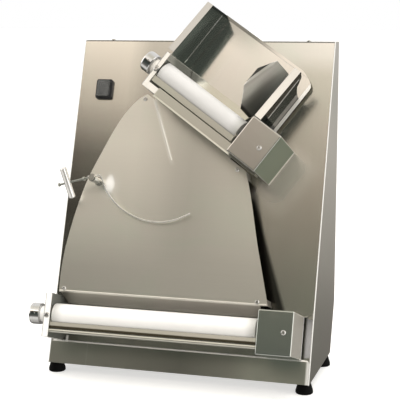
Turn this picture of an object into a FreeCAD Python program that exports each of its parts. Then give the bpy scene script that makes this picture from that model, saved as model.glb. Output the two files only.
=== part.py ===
import FreeCAD, Part
import Sketcher
import math
import os

# ---------------------------------------------------------------------------
# Two-stage pizza dough roller: a leaning sheet-steel cabinet that carries a
# short inclined roller unit with a feed hopper, a dough chute with a
# counterweighted balance arm, and a long level roller unit below.
# Frame: +Z up, +X to the right, the working front faces -Y.
# Slope frame (x, s, n): s runs up the leaning front, n points out of it.
# Unit frame (u, v, n): u runs along a unit's rollers, v up across them.
# ---------------------------------------------------------------------------

V = FreeCAD.Vector
Pl = FreeCAD.Placement
Rot = FreeCAD.Rotation

doc = FreeCAD.newDocument("DoughRoller")
sheet = doc.addObject("Spreadsheet::Sheet", "Sizes")

SIZES = [
    # placing of the whole part: bounding box centre over the origin
    ("frame_x", 7.60), ("frame_y", -99.6269), ("frame_z", 20.0),
    # cabinet
    ("cab_half", 260.0), ("cab_height", 621.3), ("front_setback", 223.4),
    ("cab_depth", 260.6), ("base_depth", 221.5), ("kink_height", 98.8),
    ("side_thick", 2.0), ("panel_thick", 1.5), ("cover_thick", 1.2),
    ("panel_half", 257.7), ("panel_foot", 124.0),
    ("skirt_top", 46.8), ("recess_depth", 25.0),
    # feet
    ("foot_height", 20.0), ("foot_top_radius", 12.0),
    ("foot_rim_radius", 16.5), ("foot_x", 248.0),
    ("foot_front_y", 18.0), ("foot_rear_y", 197.0),
    # roller units
    ("roller_radius", 22.0), ("shaft_radius", 8.0), ("roller_v", 4.5),
    ("centre_distance", 45.0), ("lower_roller_length", 400.0),
    ("upper_roller_length", 200.0), ("end_play", 2.4),
    ("lower_plate", 13.4), ("upper_plate", 10.0), ("block_size", 30.0),
    ("gap_travel", 4.0), ("bend_radius", 2.5),
    ("eccentric", 2.0), ("journal_radius", 7.0),
    ("running_gap", 0.05), ("side_gap", 0.3),
    ("boss_radius", 15.0), ("boss_length", 10.0),
    ("knob_radius", 20.6), ("knob_length", 21.5),
    ("gear_module", 3.0), ("roller_teeth", 15.0), ("pinion_teeth", 20.0),
    ("gear_width", 16.0), ("backlash", 0.3),
    ("cover_wall", 1.5), ("cover_height", 82.0),
    ("lower_cover_width", 66.0), ("lower_cover_depth", 100.0),
    ("upper_cover_width", 67.5), ("upper_cover_depth", 129.0),
    # hopper and chute
    ("hopper_thick", 1.2), ("hopper_depth", 108.0), ("hopper_back_n", 13.2),
    ("chute_face", 40.0), ("chute_thick", 1.5),
    # balance arm
    ("stud_radius", 4.0), ("rod_radius", 2.0), ("wire_radius", 1.7),
    ("weight_radius", 6.5), ("weight_length", 62.0),
]


class Q:
    """A size: its value, and the cell expression that it is bound to."""

    def __init__(self, v, e=None):
        self.v = float(v)
        self.e = e if e is not None else repr(float(v))
        self.bound = e is not None

    def _op(self, o, sign, f):
        o = q(o)
        r = Q(f(self.v, o.v), "(%s %s %s)" % (self.e, sign, o.e))
        r.bound = self.bound or o.bound
        return r

    def __add__(self, o):
        return self._op(o, "+", lambda a, b: a + b)

    def __radd__(self, o):
        return q(o) + self

    def __sub__(self, o):
        return self._op(o, "-", lambda a, b: a - b)

    def __rsub__(self, o):
        return q(o) - self

    def __mul__(self, o):
        return self._op(o, "*", lambda a, b: a * b)

    def __rmul__(self, o):
        return q(o) * self

    def __truediv__(self, o):
        return self._op(o, "/", lambda a, b: a / b)

    def __neg__(self):
        return q(0) - self


def q(x):
    return x if isinstance(x, Q) else Q(x)


def num(x):
    return x.v if isinstance(x, Q) else float(x)


class Cells:
    pass


D = Cells()
for row, (alias, value) in enumerate(SIZES, start=1):
    sheet.set("A%d" % row, alias)
    sheet.set("B%d" % row, repr(value))
    sheet.setAlias("B%d" % row, alias)
    setattr(D, alias, Q(value, "Sizes." + alias))
doc.recompute()


def bind(obj, prop, x):
    x = q(x)
    if x.bound:
        obj.setExpression(prop, x.e)
    else:
        setattr(obj, prop, x.v)


def place(obj, pos, rot=None, loc=None):
    p = Pl(V(*[num(c) for c in pos]), rot or Rot())
    obj.Placement = loc.multiply(p) if loc else p
    if loc is None:
        for c, axis in zip(pos, "xyz"):
            if isinstance(c, Q) and c.bound:
                obj.setExpression("Placement.Base." + axis, c.e)
    return obj


AX = {"z": Rot(), "x": Rot(V(0, 1, 0), 90), "y": Rot(V(1, 0, 0), -90),
      "-x": Rot(V(0, 1, 0), -90), "-y": Rot(V(1, 0, 0), 90),
      "-z": Rot(V(1, 0, 0), 180)}


def box(name, lo, hi, rot=None, loc=None):
    """Box between two corners given in its own frame."""
    o = doc.addObject("Part::Box", name)
    for prop, a, b in zip(("Length", "Width", "Height"), lo, hi):
        bind(o, prop, q(b) - q(a) if (isinstance(a, Q) or isinstance(b, Q)) else num(b) - num(a))
    if rot is None:
        return place(o, lo, None, loc)
    p = Pl(V(0, 0, 0), rot).multiply(Pl(V(*[num(c) for c in lo]), Rot()))
    o.Placement = loc.multiply(p) if loc else p
    return o


def cyl(name, r, h, pos, axis="z", loc=None):
    o = doc.addObject("Part::Cylinder", name)
    bind(o, "Radius", r)
    bind(o, "Height", h)
    return place(o, pos, AX[axis] if isinstance(axis, str) else axis, loc)


def cone(name, r1, r2, h, pos, axis="z", loc=None):
    o = doc.addObject("Part::Cone", name)
    bind(o, "Radius1", r1)
    bind(o, "Radius2", r2)
    bind(o, "Height", h)
    return place(o, pos, AX[axis] if isinstance(axis, str) else axis, loc)


def prism(name, sides, r, h, pos, axis="z", loc=None):
    o = doc.addObject("Part::Prism", name)
    o.Polygon = sides
    bind(o, "Circumradius", r)
    bind(o, "Height", h)
    return place(o, pos, AX[axis] if isinstance(axis, str) else axis, loc)


def fuse(name, parts):
    if len(parts) == 1:
        return parts[0]
    o = doc.addObject("Part::MultiFuse", name)
    o.Shapes = parts
    return o


def cut(name, base, tools):
    if isinstance(tools, list):
        tools = fuse(name + "_tools", tools)
    o = doc.addObject("Part::Cut", name)
    o.Base = base
    o.Tool = tools
    return o


def group(name, parts):
    o = doc.addObject("Part::Compound", name)
    o.Links = parts
    return o


def rounded(name, base, edges, r):
    """Rounds numbered edges of a primitive; the primitive stays its base."""
    o = doc.addObject("Part::Fillet", name)
    o.Base = base
    o.Edges = [(e, r, r) for e in edges]
    return o


def soften(kind, name, base, test, a, b=None):
    """Rounds or chamfers the edges of a finished piece that pass a test."""
    doc.recompute()
    o = doc.addObject(kind, name)
    o.Base = base
    o.Edges = [(i, a, a if b is None else b) for i, e in enumerate(base.Shape.Edges, start=1)
               if all(test(v.Point) for v in e.Vertexes)]
    if not o.Edges:
        raise ValueError(name)
    return o


def arc_points(cs, cn, r, a0, a1, n=8):
    """Points of a bend in the slope plane, as the cabinet's (y, z)."""
    return [sl(cs + r * math.cos(math.radians(a0 + (a1 - a0) * k / n)),
               cn + r * math.sin(math.radians(a0 + (a1 - a0) * k / n))) for k in range(n + 1)]


def plane_of(body, role):
    for f in body.Origin.OriginFeatures:
        if f.Role == role:
            return f
    raise ValueError(role)


def new_sketch(body, name, role):
    sk = body.newObject("Sketcher::SketchObject", name)
    sk.AttachmentSupport = (plane_of(body, role), [""])
    sk.MapMode = "FlatFace"
    return sk


def polygon(sk, pts, fix=True):
    """Closed polygon; each corner that has a bound size is dimensioned."""
    n = len(pts)
    g0 = sk.GeometryCount
    for i in range(n):
        a, b = pts[i], pts[(i + 1) % n]
        sk.addGeometry(Part.LineSegment(V(num(a[0]), num(a[1]), 0),
                                        V(num(b[0]), num(b[1]), 0)), False)
    for i in range(n):
        sk.addConstraint(Sketcher.Constraint(
            "Coincident", g0 + i, 2, g0 + (i + 1) % n, 1))
    if not fix:
        return
    for i in range(n):
        for k, kind, other in ((0, "DistanceX", -2), (1, "DistanceY", -1)):
            c = pts[i][k]
            if abs(num(c)) < 1e-9:
                sk.addConstraint(Sketcher.Constraint(
                    "PointOnObject", g0 + i, 1, other))
                continue
            j = sk.addConstraint(Sketcher.Constraint(
                kind, -1, 1, g0 + i, 1, num(c)))
            if isinstance(c, Q) and c.bound:
                sk.setExpression("Constraints[%d]" % j, c.e)


def circle(sk, cx, cy, r):
    g = sk.addGeometry(Part.Circle(V(num(cx), num(cy), 0), V(0, 0, 1), num(r)), False)
    if abs(num(cx)) < 1e-9 and abs(num(cy)) < 1e-9:
        sk.addConstraint(Sketcher.Constraint("Coincident", g, 3, -1, 1))
    j = sk.addConstraint(Sketcher.Constraint("Radius", g, num(r)))
    if isinstance(r, Q) and r.bound:
        sk.setExpression("Constraints[%d]" % j, r.e)


def pad(body, sk, length, name="Pad"):
    p = body.newObject("PartDesign::Pad", name)
    p.Profile = sk
    bind(p, "Length", length)
    sk.Visibility = False
    return p


def poly_body(name, role, pts, length, fix=True):
    body = doc.addObject("PartDesign::Body", name)
    sk = new_sketch(body, name + "_outline", role)
    polygon(sk, pts, fix)
    pad(body, sk, length, name + "_pad")
    return body


def revolve_body(name, pts, fix=True):
    """Turned piece: half profile (radius, height) about the body's Z axis."""
    body = doc.addObject("PartDesign::Body", name)
    sk = new_sketch(body, name + "_profile", "XZ_Plane")
    polygon(sk, pts, fix)
    r = body.newObject("PartDesign::Revolution", name + "_turn")
    r.Profile = sk
    r.ReferenceAxis = (sk, ["V_Axis"])
    r.Angle = 360.0
    return body


def mitred(points, t):
    """Closed outline of a bent sheet: the polyline and its offset to the
    left of the direction of travel by thickness t."""
    out = []
    n = len(points)
    for i in range(n):
        d = []
        for a, b in ((i - 1, i), (i, i + 1)):
            if 0 <= a and b < n:
                dx = points[b][0] - points[a][0]
                dy = points[b][1] - points[a][1]
                l = math.hypot(dx, dy)
                d.append((-dy / l, dx / l))
        if len(d) == 1:
            m = d[0]
            k = t
        else:
            mx, my = d[0][0] + d[1][0], d[0][1] + d[1][1]
            l = math.hypot(mx, my)
            m = (mx / l, my / l)
            k = t / (m[0] * d[0][0] + m[1] * d[0][1])
        out.append((points[i][0] + m[0] * k, points[i][1] + m[1] * k))
    return list(points) + out[::-1]


nodes = {}


def node(label, obj, frame):
    """Gives a finished piece its name and its place in the whole part."""
    if obj.TypeId in ("Part::Box", "Part::Cylinder", "Part::Cone",
                      "Part::Prism", "Part::Fillet"):
        obj = group(label + "_piece", [obj])
    obj.Placement = frame.multiply(obj.Placement)
    obj.Label = label
    nodes[label] = obj
    return obj


# ---------------------------------------------------------------------------
# Frames
# ---------------------------------------------------------------------------
H = D.cab_height.v
T = D.front_setback.v
DD = D.cab_depth.v
DK = D.base_depth.v
ZK = D.kink_height.v
lean = math.atan2(T, H)
slope_len = math.hypot(T, H)
tilt = -34.6

F = Pl(V(D.frame_x.v, D.frame_y.v, D.frame_z.v), Rot())
SLOPE = Pl(V(0, 0, 0), Rot(V(1, 0, 0), 90 - math.degrees(lean)))
LOW = SLOPE.multiply(Pl(V(208.5, 85.5, 0), Rot()))
UP = SLOPE.multiply(Pl(V(148, 423, 0), Rot(V(0, 0, 1), tilt)))
F_SLOPE = F.multiply(SLOPE)
F_LOW = F.multiply(LOW)
F_UP = F.multiply(UP)


def sl(s, n):
    """Slope coordinates to the cabinet's (y, z)."""
    return (s * math.sin(lean) - n * math.cos(lean),
            s * math.cos(lean) + n * math.sin(lean))


def up_xs(u, v):
    """Upper unit coordinates to the slope frame's (x, s)."""
    c, s = math.cos(math.radians(tilt)), math.sin(math.radians(tilt))
    return (148 + u * c - v * s, 423 + u * s + v * c)


def screw(name, pos, axis, head_r=4.5, head_h=2.6, shank_r=2.0, shank_l=10.0, loc=None):
    """Button-head socket screw: pos is under the head, axis points out."""
    rot = AX[axis] if isinstance(axis, str) else axis
    base = Pl(V(*[num(c) for c in pos]), rot)
    if loc:
        base = loc.multiply(base)
    a = cyl(name + "_rim", head_r, head_h * 0.45, (0, 0, 0), "z", base)
    b = cone(name + "_dome", head_r, head_r * 0.62, head_h * 0.55, (0, 0, head_h * 0.45), "z", base)
    c = cyl(name + "_shank", shank_r, shank_l, (0, 0, -shank_l), "z", base)
    k = prism(name + "_socket", 6, head_r * 0.36, head_h * 0.6, (0, 0, head_h * 0.45), "z", base)
    return cut(name, fuse(name + "_body", [a, b, c]), k)


# ---------------------------------------------------------------------------
# Cabinet: side panels, front, skirt, floor, rear cover
# ---------------------------------------------------------------------------
hole_ys = (D.foot_front_y, D.foot_rear_y)
rear_screw_z = (140.0, 360.0, 585.0)

plate = poly_body("SidePlate", "YZ_Plane",
                  [(0, 0), (D.base_depth, 0), (D.cab_depth, D.kink_height),
                   (D.cab_depth, D.cab_height), (D.front_setback, D.cab_height)],
                  D.side_thick)
plate.Placement = Pl(V(258, 0, 0), Rot())
plate = soften("Part::Fillet", "SideEdge", plate,
               lambda p: p.x > 259.9 and abs(p.y - p.z * T / H) < 0.01, 1.95)
flanges = [
    box("SideFrontFlange", (248, 3, -3.5), (258.5, slope_len - 6, -1.7), None, SLOPE),
    box("SideRearFlange", (244, DD - 3.2, ZK + 8), (258.5, DD - 1.4, H - 6)),
    box("SideFloorFlange", (236, 9, 1.7), (258.5, DK - 10, 3.5)),
]
holes = [cyl("SideFootHole%d" % i, 3.4, 10, (D.foot_x, y, -2)) for i, y in enumerate(hole_ys)]
holes += [cyl("SideRearHole%d" % i, 2.2, 8, (251, DD - 6, z), "y") for i, z in enumerate(rear_screw_z)]
holes.append(box("SideRecessNotch", (236, 49.7, -8), (258.0, 122.0, 3), None, SLOPE))
right = cut("SideRight", fuse("SideRightSolid", [plate] + flanges), holes)
node("side_panel_right", right, F)
left = doc.addObject("Part::Mirroring", "SideLeft")
left.Source = right
left.Base = (D.frame_x.v, 0, 0)
left.Normal = (1, 0, 0)
left.Label = "side_panel_left"
nodes["side_panel_left"] = left

# front panel: lower return, leaning face, top flange
pt = D.panel_thick.v
prof = [sl(124, -23.3)] + arc_points(127, -3, 3, 180, 90) + [(T, H), (DD, H)]
prof = mitred(prof[::-1], pt)
face = poly_body("FrontSheet", "YZ_Plane", prof, D.panel_half * 2, False)
face.Placement = Pl(V(-D.panel_half.v, 0, 0), Rot())
SWX, SWS = -205.0, 556.0
tools = [
    box("ReturnNotchL", (-259, 122, -6), (-247.6, 127, -1.5), None, SLOPE),
    box("ReturnNotchR", (247.6, 122, -6), (259, 127, -1.5), None, SLOPE),
    box("SwitchWindow", (SWX - 13.8, SWS - 16.8, -4), (SWX + 13.8, SWS + 16.8, 3), None, SLOPE),
    box("DriveWindow", (-18, -31, -4), (6, 39, 3), None, UP),
]
for i, x in enumerate((-204, 204)):
    tools.append(cyl("TopHole%d" % i, 2.2, 8, (x, 239, H - 5)))
for sgn in (-1, 1):
    x0, x1 = sorted((sgn * 239.7, sgn * 259))
    corner = box("PanelCorner%d" % (sgn + 1), (x0, 122, -25), (x1, 142, 1), None, SLOPE)
    keep = cyl("PanelRound%d" % (sgn + 1), 18.0, 28, (sgn * 239.7, 142, -26), "z", SLOPE)
    tools.append(cut("PanelTrim%d" % (sgn + 1), corner, keep))
CHUTE_SCREWS = [(-101.9, 527.1), (97.8, 392.2), (-227.2, 143.5), (158.5, 143.5)]
node("front_panel", cut("FrontPanel", face, tools), F)

# skirt: face, ledge and the recess's back wall, notched round the side flanges
st = D.skirt_top.v
prof = mitred([sl(128, -25), sl(st, -25)] + arc_points(st - 4, -4, 4, 0, 90) + [sl(0.6, 0)], pt)
skirt = poly_body("SkirtSheet", "YZ_Plane", prof, 515.4, False)
skirt.Placement = Pl(V(-257.7, 0, 0), Rot())
tools = [box("PinionWindow", (178, 50, -30), (238, 121, -20), None, SLOPE)]
for sgn in (-1, 1):
    x0, x1 = sorted((sgn * 247.4, sgn * 259))
    tools.append(box("SkirtNotch%d" % (sgn + 1), (x0, st - 7.5, -7), (x1, st + 2, -1.55), None, SLOPE))
    x0, x1 = sorted((sgn * 248.5, sgn * 259))
    corner = box("SkirtCorner%d" % (sgn + 1), (x0, st - 9, -7), (x1, st + 2, 1), None, SLOPE)
    keep = cyl("SkirtRound%d" % (sgn + 1), 9.0, 12, (sgn * 248.5, st - 9, -9), "z", SLOPE)
    tools.append(cut("SkirtTrim%d" % (sgn + 1), corner, keep))
tab = box("SkirtTab", (-227.5, st - 4, -1.4), (-223.5, st + 9, 0.8), None, SLOPE)
node("front_skirt", fuse("FrontSkirtAll", [cut("FrontSkirt", skirt, tools), tab]), F)

# floor plate with holes for the feet's bolts
floor = doc.addObject("PartDesign::Body", "FloorPlate")
sk = new_sketch(floor, "FloorOutline", "XY_Plane")
polygon(sk, [(-D.panel_half, 2.6), (D.panel_half, 2.6),
             (D.panel_half, D.base_depth - 2.5), (-D.panel_half, D.base_depth - 2.5)])
pad(floor, sk, D.panel_thick, "FloorPad")
sk = new_sketch(floor, "FloorHoles", "XY_Plane")
for sgn in (-1, 1):
    for y in hole_ys:
        circle(sk, sgn * D.foot_x.v, y, 3.4)
pk = floor.newObject("PartDesign::Pocket", "FloorPocket")
pk.Profile = sk
pk.Type = 1
pk.Midplane = True
node("base_plate", floor, F)

# rear cover: top return, upright wall, inclined foot; louvre slots and gland hole
ct = D.cover_thick.v
prof = mitred([(231.0, H - 1.7), (DD, H - 1.7), (DD, ZK), (DK, 0.2)][::-1], ct)
rear = poly_body("RearSheet", "YZ_Plane", prof, D.panel_half * 2, False)
rear.Placement = Pl(V(-D.panel_half.v, 0, 0), Rot())
tools = []
for i in range(7):
    for j, x in enumerate((-120.0, 60.0)):
        tools.append(box("Vent%d_%d" % (i, j), (x, DD - 6, 430 + 18 * i), (x + 60, DD + 6, 434 + 18 * i)))
        tools.append(box("LowVent%d_%d" % (i, j), (x, DD - 6, 190 + 18 * i), (x + 60, DD + 6, 194 + 18 * i)))
GLX, GLZ = -170.0, 135.0
tools.append(cyl("GlandHole", 8.2, 16, (GLX, DD - 8, GLZ), "y"))
for i, x in enumerate((-204, 204)):
    tools.append(cyl("ReturnHole%d" % i, 2.2, 10, (x, 239, H - 8)))
for sgn in (-1, 1):
    for i, z in enumerate(rear_screw_z):
        tools.append(cyl("RearHole%d_%d" % (sgn + 1, i), 2.2, 12, (sgn * 251, DD - 8, z), "y"))
node("rear_cover", cut("RearCover", rear, tools), F)

scr = []
for sgn in (-1, 1):
    scr.append(screw("TopScrew%d" % (sgn + 1), (sgn * 204, 239, H), "z", 4.2, 2.8, 2.0, 9.0))
    for i, z in enumerate(rear_screw_z):
        scr.append(screw("RearScrew%d_%d" % (sgn + 1, i), (sgn * 251, DD, z), "y", 4.2, 2.4, 2.0, 9.0))
node("cover_screws", group("CoverScrews", scr), F)

# feet: flared rubber cones bolted through the floor
feet, bolts = [], []
for sgn in (-1, 1):
    for i, y in enumerate(hole_ys):
        tag = "%d_%d" % (sgn + 1, i)
        at = (D.foot_x * sgn, y)
        feet.append(cut("Foot" + tag, fuse("FootSolid" + tag, [
            cone("FootFlare" + tag, D.foot_rim_radius, D.foot_top_radius, D.foot_height - 5.5,
                 (at[0], at[1], -(D.foot_height) + 5.5)),
            cyl("FootRim" + tag, D.foot_rim_radius, 4.0, (at[0], at[1], -(D.foot_height) + 1.5)),
            cone("FootHeel" + tag, D.foot_rim_radius - 1.5, D.foot_rim_radius, 1.5,
                 (at[0], at[1], -D.foot_height))]),
            [cyl("FootBore" + tag, 3.2, 30, (at[0], at[1], -25)),
             cyl("FootWell" + tag, 6.5, 9.0, (at[0], at[1], -(D.foot_height) - 1))]))
        bolts.append(cut("Bolt" + tag, fuse("BoltSolid" + tag, [
            cyl("BoltHead" + tag, 5.0, 5.0, (at[0], at[1], -17.0)),
            cyl("BoltShank" + tag, 3.0, 26.0, (at[0], at[1], -15.0)),
            prism("BoltNut" + tag, 6, 5.6, 5.0, (at[0], at[1], 3.5))]),
            [prism("BoltSocket" + tag, 6, 2.9, 4.0, (at[0], at[1], -18.0))]))
node("rubber_feet", group("RubberFeet", feet), F)
node("foot_bolts", group("FootBolts", bolts), F)

# ---------------------------------------------------------------------------
# Dough chute: a domed outline of flat sheet with side flanges and a lower lip
# ---------------------------------------------------------------------------
LEFT = [(-112.9, 528.5), (-146.0, 488.7), (-167.8, 446.4), (-186.5, 404.0), (-201.6, 367.8),
        (-213.0, 331.0), (-222.0, 294.0), (-228.3, 262.0), (-233.0, 234.0), (-236.6, 203.0),
        (-238.0, 170.0), (-237.6, 137.0)]
RIGHT = [(115.6, 386.1), (125.5, 352.0), (137.0, 304.0), (147.0, 259.4), (160.4, 208.1),
         (170.5, 170.0), (179.0, 137.0)]


def chute_outline(sk, inset, over):
    """Spline sides joined by straight top, bottom and the notch under the unit."""
    lp = [V(x + inset, s, 0) for x, s in LEFT]
    rp = [V(x - inset, s, 0) for x, s in RIGHT]
    if over:
        for p in (lp, rp):
            d = p[0] - p[1]
            d.normalize()
            p.insert(0, p[0] + d * over)
        top = [up_xs(-200, 20), up_xs(-60, 20)]
    else:
        top = [up_xs(u, v) for u, v in (
            (-268, -46), (-249, -46), (-249, -27.5), (-50, -27.5), (-50, -46), (-8, -46))]
    lc = Part.BSplineCurve()
    lc.interpolate(lp)
    rc = Part.BSplineCurve()
    rc.interpolate(rp)
    sk.addGeometry(lc, False)
    sk.addGeometry(rc, False)
    chain = [lp[0]] + [V(x, s, 0) for x, s in top] + [rp[0]]
    for a, b in zip(chain[:-1], chain[1:]):
        sk.addGeometry(Part.LineSegment(a, b), False)
    if over:
        a, b = V(lp[-1].x, 130, 0), V(rp[-1].x, 130, 0)
        sk.addGeometry(Part.LineSegment(lp[-1], a), False)
        sk.addGeometry(Part.LineSegment(a, b), False)
        sk.addGeometry(Part.LineSegment(b, rp[-1]), False)
    else:
        sk.addGeometry(Part.LineSegment(lp[-1], rp[-1]), False)


outer = doc.addObject("PartDesign::Body", "ChuteOuter")
sk = new_sketch(outer, "ChuteOutline", "XY_Plane")
chute_outline(sk, 0.0, 0.0)
pad(outer, sk, D.chute_face - 2.0, "ChutePad")
outer.Placement = Pl(V(0, 0, 2), Rot())
inner = doc.addObject("PartDesign::Body", "ChuteInner")
sk = new_sketch(inner, "ChuteHollow", "XY_Plane")
chute_outline(sk, 1.8, 20.0)
pad(inner, sk, D.chute_face - D.chute_thick, "ChuteHollowPad")
lip_tilt = math.degrees(math.atan2(16.0, 21.0))
lip = box("ChuteLip", (0, -26.0, -1.5), (396.0, 0.4, 0))
LIP = Pl(V(-231.0, 137.2, 40.0), Rot(V(1, 0, 0), lip_tilt))
lip.Placement = LIP.multiply(Pl(V(0, -26.0, -1.5), Rot()))
lipcut = box("LipCorner", (0, 0, 0), (20, 40, 10))
lipcut.Placement = LIP.multiply(Pl(V(0, -3.0, 0), Rot(V(0, 0, 1), 22))).multiply(Pl(V(-20, -40, -5), Rot()))
lip = cut("ChuteLipTrimmed", lip, lipcut)
PX, PS = -180.0, 357.5
holes = [cyl("ChuteHole%d" % i, 2.2, 8, (x, s, 36)) for i, (x, s) in enumerate(CHUTE_SCREWS)]
holes.append(cyl("PivotHole", 4.2, 8, (PX, PS, 36)))
open_side = box("ChuteOpenSide", (40, 149, -1), (200, 374, 38.4))
cr0, cr1 = V(-81.5, 523.0, 34.5), V(-35.5, 406.0, 35.65)
crease = cone("ChuteCreaseRound", 6.0, 4.5, (cr1 - cr0).Length, tuple(cr0), Rot(V(0, 0, 1), cr1 - cr0))
crease = cut("ChuteCrease", crease, box("CreaseUnder", (-110, 380, 20), (-10, 550, 39.3)))
bead = cut("ChuteBead", cyl("ChuteBeadRod", 1.8, 412.5, (-236.0, 139.2, 39.4), "x"),
           [cyl("BeadNotch%d" % i, 4.6, 5.0, (x, s, 40.0)) for i, (x, s) in enumerate(CHUTE_SCREWS) if s < 200])
shell = cut("ChuteOpened", cut("ChuteShell", outer, inner), open_side)
lipped = fuse("ChuteBeaded", [fuse("ChuteLipped", [shell, lip]), bead])
chute = cut("Chute", fuse("ChuteSheet", [lipped, crease]), holes)
node("chute_panel", chute, F_SLOPE)
sp, scr = [], []
for i, (x, s) in enumerate(CHUTE_SCREWS):
    sp.append(cut("Spacer%d" % i, cyl("SpacerRod%d" % i, 5.0, D.chute_face - D.chute_thick - 0.02, (x, s, 0)),
                  cyl("SpacerBore%d" % i, 2.1, 14, (x, s, 25))))
    scr.append(screw("ChuteScrew%d" % i, (x, s, D.chute_face), "z", 4.2, 2.4, 2.0, 12.0))
node("chute_spacers", group("ChuteSpacers", sp), F_SLOPE)
node("chute_screws", group("ChuteScrews", scr), F_SLOPE)

# ---------------------------------------------------------------------------
# Mains switch with rocker and clear boot, cable gland
# ---------------------------------------------------------------------------
sw = lambda a, b, c: (SWX + a, SWS + b, c)
bezel = rounded("SwitchBezel", box("BezelBlock", sw(-17.25, -20, 0), sw(17.25, 20, 6)), (1, 3, 5, 7), 4.5)
house = cut("SwitchHousing", fuse("HousingSolid", [
    bezel, box("HousingBody", sw(-13.5, -16.5, -28), sw(13.5, 16.5, 1))]),
    [box("RockerWell", sw(-9.6, -13.8, -11), sw(9.6, 13.8, 8)),
     cyl("RockerPinHole", 1.6, 23, sw(-11.5, 0, 1), "x")])
terms = [box("Terminal%d" % i, sw(x - 0.4, y - 3, -37), sw(x + 0.4, y + 3, -28))
         for i, (x, y) in enumerate(((-6, -9), (6, -9), (-6, 9), (6, 9)))]
node("switch_housing", fuse("SwitchHousingAll", [house] + terms), F_SLOPE)

rocker = poly_body("RockerKey", "YZ_Plane",
                   [(-12.6, 4.2), (-4.0, 2.6), (4.0, 2.6), (12.6, 4.2), (10.5, -7.5), (-10.5, -7.5)], 18.4)
rocker.Placement = Pl(V(-9.2, 0, 0), Rot())
rk = fuse("Rocker", [rocker, cyl("RockerPin", 1.5, 22, (-11, 0, 0), "x")])
rk.Placement = Pl(V(SWX, SWS, 1), Rot(V(1, 0, 0), -9))
node("switch_rocker", rk, F_SLOPE)

boot = cut("SwitchBoot",
           rounded("BootDome", box("BootBlock", sw(-13.2, -16.8, 6.0), sw(13.2, 16.8, 13.4)),
                   (1, 3, 5, 7), 4.0),
           [box("BootHollow", sw(-12.2, -15.8, 5), sw(12.2, 15.8, 12.6))])
node("switch_boot", boot, F_SLOPE)

gl = cut("CableGland", fuse("GlandSolid", [
    cyl("GlandThread", 8.0, 16, (GLX, DD - 12, GLZ), "y"),
    prism("GlandHex", 6, 12.7, 5.5, (GLX, DD, GLZ), "y"),
    cyl("GlandCap", 10.5, 8.0, (GLX, DD + 5.5, GLZ), "y"),
    cone("GlandNose", 10.5, 7.0, 3.5, (GLX, DD + 13.5, GLZ), "y"),
    prism("GlandNut", 6, 12.7, 5.0, (GLX, DD - 6.3, GLZ), "y")]),
    cyl("GlandBore", 4.0, 40, (GLX, DD - 16, GLZ), "y"))
node("cable_gland", gl, F)

# ---------------------------------------------------------------------------
# Balance arm on the chute: stud, hub with bent wire, threaded rod and weight
# ---------------------------------------------------------------------------
stud = fuse("BalancePivot", [
    cyl("StudCore", D.stud_radius, 49.0, (PX, PS, 33.0)),
    cyl("StudShoulder", 6.0, 25.5, (PX, PS, D.chute_face)),
    cyl("StudCap", 6.0, 2.6, (PX, PS, 79.4)),
    prism("StudNut", 6, 6.4, 4.5, (PX, PS, 34.0)),
    cyl("StudWasher", 9.0, 1.5, (PX, PS, D.chute_face))])
node("balance_pivot", stud, F_SLOPE)

ROD_A = math.radians(16.0)
RD = V(math.cos(ROD_A), math.sin(ROD_A), 0)          # along the rod, to the right
RN = V(-math.sin(ROD_A), math.cos(ROD_A), 0)
HUBN = 72.5
hub0 = V(PX, PS, HUBN)
rod_off = 3.4


def bent_wire(pts, share=0.42):
    """Straight runs joined by tangent arcs through a list of points."""
    pts = [V(*p) for p in pts]
    edges, radii = [], []
    start = pts[0]
    for i in range(1, len(pts) - 1):
        a, b = pts[i - 1] - pts[i], pts[i + 1] - pts[i]
        la, lb = a.Length, b.Length
        a.normalize()
        b.normalize()
        turn = math.pi - a.getAngle(b)
        d = share * min(la, lb)
        p1, p2 = pts[i] + a * d, pts[i] + b * d
        r = d / math.tan(turn / 2)
        bis = a + b
        bis.normalize()
        mid = pts[i] + bis * (r / math.cos(turn / 2) - r)
        radii.append(round(r, 1))
        if (p1 - start).Length > 1e-6:
            edges.append(Part.LineSegment(start, p1).toShape())
        edges.append(Part.Arc(p1, mid, p2).toShape())
        start = p2
    edges.append(Part.LineSegment(start, pts[-1]).toShape())
    return Part.Wire(edges), radii


# the wire leaves the hub to the right, arches over and runs down across the chute
WIRE = [(PX + 5.0, PS + 3.0, 73.5), (-170.5, 363.0, 75.0), (-165.0, 363.5, 74.5),
        (-160.8, 355.0, 71.0), (-156.3, 341.5, 65.5), (-148.0, 327.5, 58.5), (-137.0, 314.5, 51.5),
        (-121.0, 302.3, 47.5), (-103.0, 293.3, 47.0), (-84.5, 286.3, 47.0), (-65.0, 282.8, 47.0),
        (-46.5, 282.0, 47.0), (-28.0, 284.2, 47.0), (-11.0, 289.2, 47.0), (13.3, 301.2, 47.0)]
spine = doc.addObject("Part::Feature", "WireSpine")
spine.Shape, RADII = bent_wire(WIRE)
print("balance wire bend radii", RADII)
ring = doc.addObject("Part::Circle", "WireSection")
bind(ring, "Radius", D.wire_radius)
d0 = V(*WIRE[1]) - V(*WIRE[0])
ring.Placement = Pl(V(*WIRE[0]), Rot(V(0, 0, 1), d0))
wire = doc.addObject("Part::Sweep", "BalanceWire")
wire.Sections = [ring]
wire.Spine = (spine, [])
wire.Solid = True
wire.Frenet = False
hub = cyl("HubBarrel", 7.5, 13.4, (PX, PS, 65.8))
tipb = doc.addObject("Part::Sphere", "WireTip")
bind(tipb, "Radius", 2.2)
tipb.Placement = Pl(V(*WIRE[-1]), Rot())
rod_root = hub0 + RN * rod_off - RD * 5.6
rod_rot = Rot(V(0, 0, 1), -RD)
sock = cyl("RodSocketBoss", 4.0, 6.0, tuple(hub0 + RN * rod_off - RD * 3.0), rod_rot)
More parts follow.
